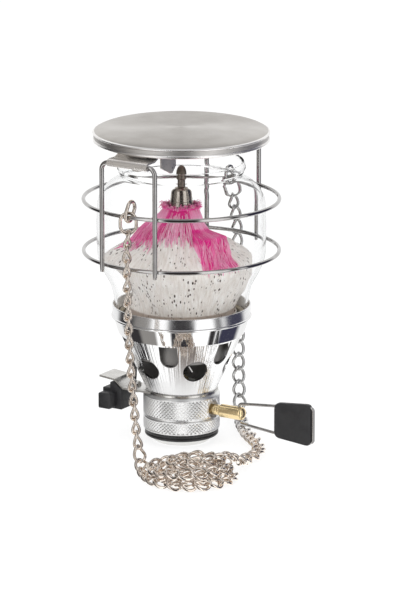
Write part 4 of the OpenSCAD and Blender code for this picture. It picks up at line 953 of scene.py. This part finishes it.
def turn_base():
    r, bore = BODY_R, 9.65
    body_low = [(9.0, BODY_Z), (r - 0.75, BODY_Z), (r - 0.5, BODY_Z + 0.08), (r - 0.12, BODY_Z + 0.42),
                (r - 0.1, BODY_Z + 0.7)]
    body_high = [(r - 0.1, 25.5), (r - 0.14, 25.75), (r - 0.45, 26.2), (18.75, 27.05), (18.5, PLATE_Z),
                 (7.8, PLATE_Z), (7.8, 30.9), (7.5, 31.2), (3.2, 31.2), (3.2, 25.9), (2.2, 25.9),
                 (2.2, BODY_Z + 0.3)]
    knurled_drum("knurled_body", "valve_body", body_low, body_high, BODY_Z + 0.9, 25.3, gland=True)
    ring_low = [(bore, RING_Z), (r - 0.8, RING_Z), (r - 0.5, RING_Z + 0.1), (r - 0.15, RING_Z + 0.45),
                (r - 0.12, RING_Z + 0.8)]
    ring_high = [(r - 0.12, BODY_Z - 0.7), (r - 0.15, BODY_Z - 0.45), (r - 0.5, BODY_Z - 0.1),
                 (r - 0.8, BODY_Z), (bore, BODY_Z)]
    knurled_drum("knurled_connector", "connector_ring", ring_low, ring_high, RING_Z + 1.0, BODY_Z - 0.9)
    seal_r = r - 0.8
    seal = eased([(bore, SEAL_Z), (seal_r - 0.6, SEAL_Z), (seal_r, SEAL_Z + 0.5), (seal_r, SEAL_Z + 1.35),
                  (seal_r - 0.55, SEAL_Z + 1.55), (seal_r - 0.55, SEAL_Z + 1.85), (seal_r, SEAL_Z + 2.05),
                  (seal_r, RING_Z), (bore, RING_Z)], 0.25, closed=True)
    lay_mesh("ribbed_seal", lathe(seal), "black_rubber", ("base_seal",))
    foot = eased([(5.15, 0.5), (5.6, 0), (14.2, 0), (15.0, 0.7), (15.0, SEAL_Z), (9.5, SEAL_Z), (9.5, 13.9),
                  (5.55, 13.9), (5.55, 6.2), (5.15, 6.0)], 0.3, closed=True)
    lay_mesh("threaded_foot", lathe(foot), "pale_foot", ("thread_bush",))


turn_base()


# Valve spindle and handle
def turn_spindle():
    """Brass spindle: needle, neck with a relief groove, and a head with a rounded end."""
    head_x = SPINDLE_REACH - 14.6
    outline = [(0, 4.0), (0.5, 4.0), (2.0, 7.0), (2.75, 7.15), (2.75, head_x - 1.4), (2.4, head_x - 0.9),
               (2.4, head_x), (3.1, head_x), (3.5, head_x + 0.5)]
    dome = ((3.5, 2.0), (3.35, 1.4), (2.9, 0.9), (2.2, 0.48), (1.2, 0.13), (0, 0))
    outline += [(r, SPINDLE_REACH - back) for r, back in dome]
    v, f = lathe(eased(outline, 0.3, 3), 64, closed=False)
    lay_mesh("brass_spindle", ([(z, y, SPINDLE_Z - x) for x, y, z in v], f), "turned_brass",
             ("valve_spindle",), body="valve_spindle")


def bend_handle():
    """Wire loop with its ends in the spindle's cross-hole, and the moulded grip on its outer half."""
    length, near_half, far_half = 45.0, 5.2, 9.4
    end_x = PIVOT_X + length
    loop = eased([(PIVOT_X, 1.2), (PIVOT_X, near_half), (end_x, far_half), (end_x, -far_half),
                  (PIVOT_X, -near_half), (PIVOT_X, -1.2)], 1.9, 8)
    wire = rod([(x, 0, SPINDLE_Z + z) for x, z in loop], 0.8, first=(0, 1, 0), dome=0.3)
    lay_mesh("handle_loop", wire, "polished_wire", ("handle_wire",), 60, "valve_handle")
    far = end_x - 1.0
    near = far - 22.0
    cover = 2.0
    a, b = (near_half + (far_half - near_half) * (x - PIVOT_X) / length + cover for x in (near, far))
    grip = slab(eased([(near, -a), (far, -b), (far, b), (near, a)], 3.4, 8, closed=True), -1.6, 1.6, 0.75, 4)
    lay_mesh("moulded_grip", moved(grip, (0, 0, SPINDLE_Z)), "black_plastic",
             ("handle_grip",), 50, "valve_handle")


turn_spindle()
bend_handle()


# Igniter
def mould_igniter():
    """Stepped housing under the bracket arm and the push button in front of it, with softened edges."""
    outline = [(-26.1, 16.0), (-26.1, 26.9), (-30.8, 30.3), (-33.4, 30.3), (-33.4, 26.9), (-37.9, 26.9),
               (-37.9, 16.0)]
    lay_mesh("igniter_case", slab(eased(outline, 0.5, 3, closed=True), -17.7, -4.1, 0.35), "black_plastic",
             ("igniter_housing",))
    left, low, w, h, front = -36.8, 17.1, 7.4, 8.4, -24.0
    face = [(left, low), (left + w, low), (left + w, low + h), (left, low + h)]
    button = slab(eased(face, 1.0, 5, closed=True), front, -11.9, 0.6)
    v, f = lathe([(1.5, -0.02), (1.75, -0.14), (2.0, -0.14), (2.25, -0.02), (2.25, 0.2), (1.5, 0.2)], 32)
    ring = ([(left + w / 2 + x, front + z, low + h / 2 + y) for x, y, z in v], f)
    lay_mesh("push_button", merged(button, ring), "black_plastic", ("igniter_button",),
             body="igniter_button")
    lead = [(-29.8, -4.1, 24.5), (-29.8, -1.6, 24.5), (-30, 0.8, 28), (-29.5, 0.6, 34), (-27.5, -3.5, 40),
            (-23.2, -8, 43), (-17, -8, 44.5), (-13.4, -5.6, 47), (-13, -5, 48.0), (-13, -5, 50.2)]
    lay_mesh("spark_lead", rod(smooth_line(lead, 6), 1.1, 12), "black_rubber",
             ("ignition_lead",), sharp=60)


mould_igniter()

# Mantle, with angles in degrees from the camera's side and heights in millimetres
KNIT_R, KNIT_FOOT_Z, KNIT_TOP_Z = 37.5, RIM_Z - 4.6, BELL_Z + 3.4
KNIT_H = KNIT_TOP_Z - KNIT_FOOT_Z
GLASS_INSIDE = ((68, 32.6), (74, 33), (84, 34.9), (92.5, 39.2), (100, 41.9), (113, 42.4), (130, 42))
SLIM_BACK = ((98, 37), (102, 35.5), (105, 32), (108, 22), (111, 15.5), (115, 12.2), (120, 10.8), (126.4, 8.5))
DYE_EDGE = ((-180, 110.5), (-120, 109), (-90, 108.5), (-60, 110), (-30, 113), (0, 114.7), (10, 112),
            (17, 107.9), (18.5, 99.2), (52, 98.4), (54.5, 106), (58, 112), (90, 111.5), (140, 110.5),
            (180, 110.5))


def looked_up(value, table):
    return float(np.interp(value, [p[0] for p in table], [p[1] for p in table]))


def ramp(value, low, high):
    t = min(1.0, max(0.0, (value - low) / (high - low)))
    return t * t * (3 - 2 * t)


def window(value, low, high, soft):
    return ramp(value, low - soft, low + soft) * (1 - ramp(value, high - soft, high + soft))


def hump(value, centre, width, power):
    return math.exp(-((value - centre) / width) ** power)


def mantle_profile():
    """The bag's outline as (height, radius) from its foot."""
    h, r, foot, neck, low = KNIT_H, KNIT_R, 27.7, 8.5, 31.4
    points = [(foot, 0), (foot + 0.5, 0.07 * h), (low, 0.2 * h), ((low + r) / 2 - 0.2, 0.31 * h),
              (r - 0.6, 0.405 * h), (r, 0.485 * h), (r - 2.4, 0.545 * h), (0.8 * r, 0.607 * h),
              (0.68 * r, 0.677 * h), (0.575 * r, 0.765 * h), (0.455 * r, 0.853 * h), (neck + 3.5, 0.923 * h),
              (neck, h)]
    return [p[::-1] for p in smooth_line(points, 9)]


def drawn_waves(low, high, lean, number):
    """Waves round the cloth: how many, where they start and how far they lean."""
    return [(dice.randint(low, high), dice.uniform(0, 6.28), dice.uniform(-lean, lean))
            for _ in range(number)]


FOLDS = drawn_waves(3, 6, 3, 4)
PLEATS = drawn_waves(9, 15, 7, 4)
CREASES = drawn_waves(22, 46, 5, 6)
KNIT_LINE = mantle_profile()


def wave_height(waves, turn, s):
    return sum(math.sin(n * turn + f + w * s) for n, f, w in waves) / len(waves)


def cloth_radius(turn, s):
    """Radius and height of the hung cloth: turn from the camera's side, s from foot to top."""
    z = KNIT_FOOT_Z + s * KNIT_H
    degrees = math.degrees(turn)
    ends = math.sin(math.pi * min(1, max(0, (s - 0.02) / 0.95)))
    gather = hump(s, 0.08, 0.1, 2) + hump(s, 0.9, 0.1, 2)
    crease = wave_height(CREASES, turn, s)
    r = looked_up(s * KNIT_H, KNIT_LINE)
    r += ends * (1.1 * wave_height(FOLDS, turn, s) + 1.3 * wave_height(PLEATS, turn, s))
    r += (0.3 * ends + 0.6 * gather * min(1, 2 * ends)) * crease
    left = hump(degrees, -95, 48, 4)
    r -= 6.2 * left * window(z, 76, 95, 5)
    r += 4.6 * left * window(z, 98, 106, 2.5)
    r += 1.8 * hump(degrees, 92, 42, 4) * window(z, 82, 99, 5)
    behind = 1 - window(degrees, -108, 55, 6)
    r += behind * min(0.0, looked_up(z, SLIM_BACK) + 0.5 * crease - r)
    flap = window(degrees, 18, 52, 2.0) * window(z, 98.6, 115.2, 0.9)
    stand = 31.0 + 0.25 * (115.5 - z) + 0.7 * math.sin(0.9 * degrees / 2 + 0.12 * z) + 0.5 * crease
    r += flap * max(0.0, stand - r)
    return min(r, looked_up(z, GLASS_INSIDE) - 1.0), z


def cloth_point(turn, s, out=0.0):
    r, z = cloth_radius(turn, s)
    lift = 0.5 * math.sin(math.pi * s) * math.sin(3 * turn + 1.0 + 4 * s)
    return polar(r + out, turn + CAMERA_SIDE, z + lift)


def dye_depth(degrees, z):
    """How dense the dye is: most on the flap's upper left and right edge, and low on the left wing."""
    over = z - looked_up(degrees, DYE_EDGE)
    patch = window(degrees, 18, 29, 2) * window(z, 112.5, 116.6, 1)
    edge = window(degrees, 43, 52, 2) * window(z, 100, 114.5, 1)
    wing = window(degrees, -100, -12, 6) * window(over, 0.2, 4.2, 1.2)
    crown = 0.12 * ramp(z, 118, 125)
    middle = 0.6 * window(degrees, -38, 20, 8) * ramp(z, 108, 113)
    body = 0.3 * window(degrees, 17, 53, 2) * window(z, 97, 117, 1)
    return min(1.15, 0.34 + 0.75 * max(patch, edge) + 0.4 * wing + max(middle, body) + crown)


def set_values(piece, name, values):
    piece.data.attributes.new(name, "FLOAT", "POINT").data.foreach_set("value", values)


def knit_mantle():
    """Cloth bag tied to the burner above and its ring below: gathers at both ends, folds, one folded flap."""
    rows, columns = 116, 288
    lengths = [0.0]
    for a, b in zip(KNIT_LINE, KNIT_LINE[1:]):
        lengths.append(lengths[-1] + float(np.linalg.norm(b - a)))
    heights = [p[0] for p in KNIT_LINE]
    along = [float(np.interp(j / (rows - 1) * KNIT_H, heights, lengths)) for j in range(rows)]
    verts, dye, deep = [], [], []
    for j in range(rows):
        for a in turns(columns):
            turn = (a + math.pi) % FULL_TURN - math.pi
            degrees = math.degrees(turn)
            point = cloth_point(turn, j / (rows - 1))
            verts.append(point)
            dye.append(min(1, max(0, 0.5 + (point[2] - looked_up(degrees, DYE_EDGE)) / 4.0)))
            deep.append(dye_depth(degrees, point[2]))
    piece = lay_mesh("knit_mantle", (verts, skin(rows, columns)), "mantle_cloth", ("mantle",),
                     sharp=180)
    set_values(piece, "dye", dye)
    set_values(piece, "deep", deep)
    mesh = piece.data
    knit = mesh.uv_layers.new(name="knit")
    girth = FULL_TURN * 30.0
    for poly in mesh.polygons:
        corners = [mesh.loops[k].vertex_index for k in poly.loop_indices]
        across = [v % columns for v in corners]
        last = 0 in across and columns - 1 in across
        for k, v, i in zip(poly.loop_indices, corners, across):
            knit.data[k].uv = ((1.0 if last and i == 0 else i / columns) * girth, along[v // columns])
    return piece, lengths[-1] * MM


def spin_bell():
    """Domed bell above the mantle's tie, with a step at its skirt and the bore for the burner tube."""
    skirt = [(6.8, 0), (6.8, 0.8), (6.3, 1.3), (6.3, 2.1), (6.75, 2.6), (6.25, 4.6), (6.05, 6.0), (5.8, 6.3)]
    dome = [(5.7, 7.6), (5.45, 9.2), (5.0, 10.8), (4.3, 12.2), (3.4, 13.1), (2.4, 13.6)]
    inside = [(0, 13.6), (0, 4.6), (3.95, 4.6), (3.95, 0)]
    outline = eased(skirt, 0.25, 3) + smooth_line(dome, 4) + inside
    lay_mesh("domed_bell", lathe([(r, z + BELL_Z) for r, z in outline], 96), "dull_nickel",
             ("burner_bell",))


def tie_mantle():
    """Threads that gather the mantle at its top and at its foot."""
    loops = []
    for radius, z in ((9.85, KNIT_TOP_Z - 0.45), (28.45, KNIT_FOOT_Z + 0.45)):
        path = [polar(radius + 0.12 * math.sin(37 * a), a, z) for a in turns(150)]
        loops.append(rod(path, 0.45, 8, closed=True))
    threads = lay_mesh("gather_threads", merged(*loops), "dyed_thread", ("mantle_ties",), 80)
    add_finishes(threads, ("bare_thread",), lambda r, z, face: int(z < BELL_Z))
    return threads


def lay_strands(name, strands, tones):
    piece = lay_mesh(name, merged(*strands), "dyed_thread", sharp=80)
    set_values(piece, "tone", [tone for mesh, tone in zip(strands, tones) for _ in mesh[0]])
    return piece


def fray_top():
    """Loose dyed fringe round the burner bell."""
    strands, tones = [], []
    for k, a in enumerate(turns(460)):
        a += dice.uniform(-0.01, 0.01)
        start = np.array(polar(8.9 + dice.uniform(0, 0.5), a, KNIT_TOP_Z - 0.6))
        side = np.array(polar(1, a + math.pi / 2, 0)) * dice.uniform(-0.8, 0.8)
        length = dice.uniform(1.2, 3.8)
        rise = np.array((0, 0, length * dice.uniform(-0.2, 0.8)))
        lean = dice.uniform(0.2, 0.9) if k % 2 else dice.uniform(-0.75, 0.1)
        tip = start + np.array(polar(1, a, 0)) * length * lean + rise + side
        middle = (start + tip) / 2 + np.array((0, 0, 0.35 * length))
        strands.append(rod(smooth_line([start, middle, tip], 3), 0.16, 4))
        tones.append(dice.uniform(0, 1) ** 2)
    return lay_strands("dyed_fringe", strands, tones)


def lay_dyed_strands():
    """Loose strands that lie along the dyed cloth: on the flap, below the burner and along the left wing."""
    strands, tones = [], []
    for left, right, low, high, first, last in ((18, 52, 100, 113, 0.15, 0.7), (-30, 17, 112, 121, 0.3, 1.0),
                                                (-105, -30, 108, 116, 0.0, 0.7)):
        for _ in range(150):
            turn = math.radians(dice.uniform(left, right))
            s = (dice.uniform(low, high) - KNIT_FOOT_Z) / KNIT_H
            length = dice.uniform(3.0, 8.0) / KNIT_H
            lean = dice.uniform(-0.05, 0.05)
            path = [cloth_point(turn + lean * t, min(0.985, s + length * (t - 0.5)),
                                0.1 + 0.55 * math.sin(math.pi * t)) for t in np.linspace(0, 1, 6)]
            strands.append(rod(path, dice.uniform(0.13, 0.18), 4))
            tones.append(dice.uniform(first, last))
    return lay_strands("dyed_strands", strands, tones)


mantle, mantle_length = knit_mantle()
spin_bell()
ties, fringe, loose = tie_mantle(), fray_top(), lay_dyed_strands()


# CAD nodes that show as they are
def finish_nodes():
    for finish, nodes in (
            ("dull_steel", ("cap_bracket", "gland_nut")),
            ("plated_steel", ("mantle_ring", "burner_tube", "funnel_nut", "electrode_rod", "igniter_bracket",
                              "bracket_screw", "bracket_nut")),
            ("burnt_steel", ("burner_cap",)),
            ("turned_brass", ("gas_jet", "valve_pin")),
            ("glazed_ceramic", ("electrode_insulator",)),
            ("gasket_fibre", ("globe_gasket",)),
            ("black_rubber", ("canister_seal", "spindle_seal"))):
        for node in nodes:
            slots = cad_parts[node].data.materials
            for k in range(len(slots)):
                slots[k] = FINISHES[finish]
            if not len(slots):
                slots.append(FINISHES[finish])


finish_nodes()


# Floor and light, in metres
def lay_floor():
    """Pale floor: nearly white to the camera, softly shadowed. Metal mirrors it only close to the lantern."""
    tree, bsdf, place = new_finish("pale_floor")
    tree.nodes.remove(bsdf)
    tone = two_tone(tree, noise(tree, place, 6.0, 3.0), (0.30, 0.30, 0.30), (0.31, 0.31, 0.31))
    path = add(tree, "LightPath").outputs
    glow = add(tree, "MixShader", path["Is Diffuse Ray"], add(tree, "Emission", Strength=0.80),
               add(tree, "Emission", Strength=0.35))
    table = add(tree, "AddShader", add(tree, "BsdfDiffuse", Color=tone), glow)
    away = add(tree, "VectorMath", place, operation="LENGTH").outputs["Value"]
    edge = sloped(tree, away, 0.03, 0.06, smooth=True)
    mirrored = add(tree, "Math", path["Glossy Depth"], edge, operation="MULTIPLY", use_clamp=True)
    seen = add(tree, "MixShader", mirrored, table, add(tree, "BsdfTransparent"))
    fill(tree, tree.nodes["Material Output"], Surface=seen)
    half, z = 6, -0.0002
    corners = [(-half, -half, z), (half, -half, z), (half, half, z), (-half, half, z)]
    mesh = bpy.data.meshes.new("floor")
    mesh.from_pydata(corners, [], [(0, 1, 2, 3)])
    mesh.materials.append(FINISHES["pale_floor"])
    new_object("floor", mesh)


def soft_lamp(name, angle, distance, height, size, radiance, aim_z):
    """Soft box round the lantern, its angle in degrees from the camera's side."""
    data = bpy.data.lights.new(name, "AREA")
    data.shape = "RECTANGLE"
    data.size, data.size_y = size
    data.energy = radiance * math.pi * size[0] * size[1]
    lamp = new_object(name, data)
    lamp.visible_camera = lamp.visible_glossy = lamp.visible_transmission = False
    lamp.location = polar(distance, CAMERA_SIDE + math.radians(angle), height)
    lamp.rotation_euler = (lamp.location - Vector((0, 0, aim_z))).to_track_quat("Z", "Y").to_euler()


def angle_ramp(tree, value, stops):
    """Colours round the lantern, by degrees from the camera's side."""
    node = add(tree, "ValToRGB", value)
    band = node.color_ramp.elements
    band[0].color = rgba(stops[0][1])
    band[1].position, band[1].color = (stops[-1][0] + 180) / 360, rgba(stops[-1][1])
    for degrees, colour in stops[1:-1]:
        band.new((degrees + 180) / 360).color = rgba(colour)
    return node.outputs["Color"]


def sky_pattern(tree):
    """Room that metal mirrors: dark in front, softboxes, pale behind, and a pale table with a dark front."""
    dark, blue, brown = (0.03, 0.028, 0.03), (0.035, 0.035, 0.06), (0.17, 0.145, 0.13)
    grey, pale, white, ceiling = (0.22, 0.21, 0.2), (0.72, 0.72, 0.72), (1.0, 1.0, 1.0), (0.42, 0.42, 0.43)
    walls = [(-180, pale), (-136, pale), (-124, dark), (-92, dark), (-84, grey), (-56, grey), (-50, white),
             (-25, white), (-20, dark), (20, dark), (25, white), (57, white), (61, dark), (70, dark),
             (73, pale), (80, pale), (84, blue), (122, blue), (134, pale)]
    table = [(-180, white), (-136, white), (-128, dark), (-98, dark), (-90, white), (-32, white),
             (-24, brown), (50, brown), (62, white), (180, white)]
    way = add(tree, "TexCoord").outputs["Generated"]
    right = share_along(tree, way, (math.cos(CAMERA_TURN), math.sin(CAMERA_TURN), 0))
    near = share_along(tree, way, (math.sin(CAMERA_TURN), -math.cos(CAMERA_TURN), 0))
    turn = sloped(tree, combined(tree, "ARCTAN2", right, near), -math.pi, math.pi)
    height = add(tree, "SeparateXYZ", way).outputs["Z"]
    # The table's far edge lies lower in front of the lantern than behind it
    edge = combined(tree, "ADD", combined(tree, "MULTIPLY", near, 0.2555), height)
    low = sloped(tree, edge, -0.68, -0.72, smooth=True)
    room = two_tone(tree, low, angle_ramp(tree, turn, walls), angle_ramp(tree, turn, table))
    high = sloped(tree, height, math.sin(math.radians(42)), math.sin(math.radians(68)), smooth=True)
    return two_tone(tree, high, room, ceiling)


def light_studio():
    """Two upright softboxes in front, strips at the sides, a box overhead, and white all round."""
    distance, middle, tall = 0.9, 0.44, 0.95
    for name, angle, width, radiance in (("left_box", -37, 0.44, 1.5), ("right_box", 41, 0.58, 1.35),
                                         ("right_strip", 76.5, 0.14, 1.2), ("left_strip", -88, 0.3, 1.0)):
        soft_lamp(name, angle, distance, middle, (width, tall), radiance, middle)
    soft_lamp("top_box", -20, 0.25, 1.1, (0.7, 0.7), 1.1, 0.08)
    world = bpy.data.worlds.new("studio")
    bpy.context.scene.world = world
    world.use_nodes = True
    tree = world.node_tree
    white = (1, 1, 1, 1)
    plain = fill(tree, tree.nodes["Background"], Color=white)
    room = add(tree, "Background", Color=sky_pattern(tree), Strength=1.35)
    even = add(tree, "Background", Color=white, Strength=0.66)
    path = add(tree, "LightPath").outputs
    seen = add(tree, "MixShader", combined(tree, "MINIMUM", path["Glossy Depth"], 1.0), plain, room)
    lit = add(tree, "MixShader", path["Is Diffuse Ray"], seen, even)
    fill(tree, tree.nodes["World Output"], Surface=lit)
    bpy.context.scene.view_settings.view_transform = "Standard"


lay_floor()
light_studio()
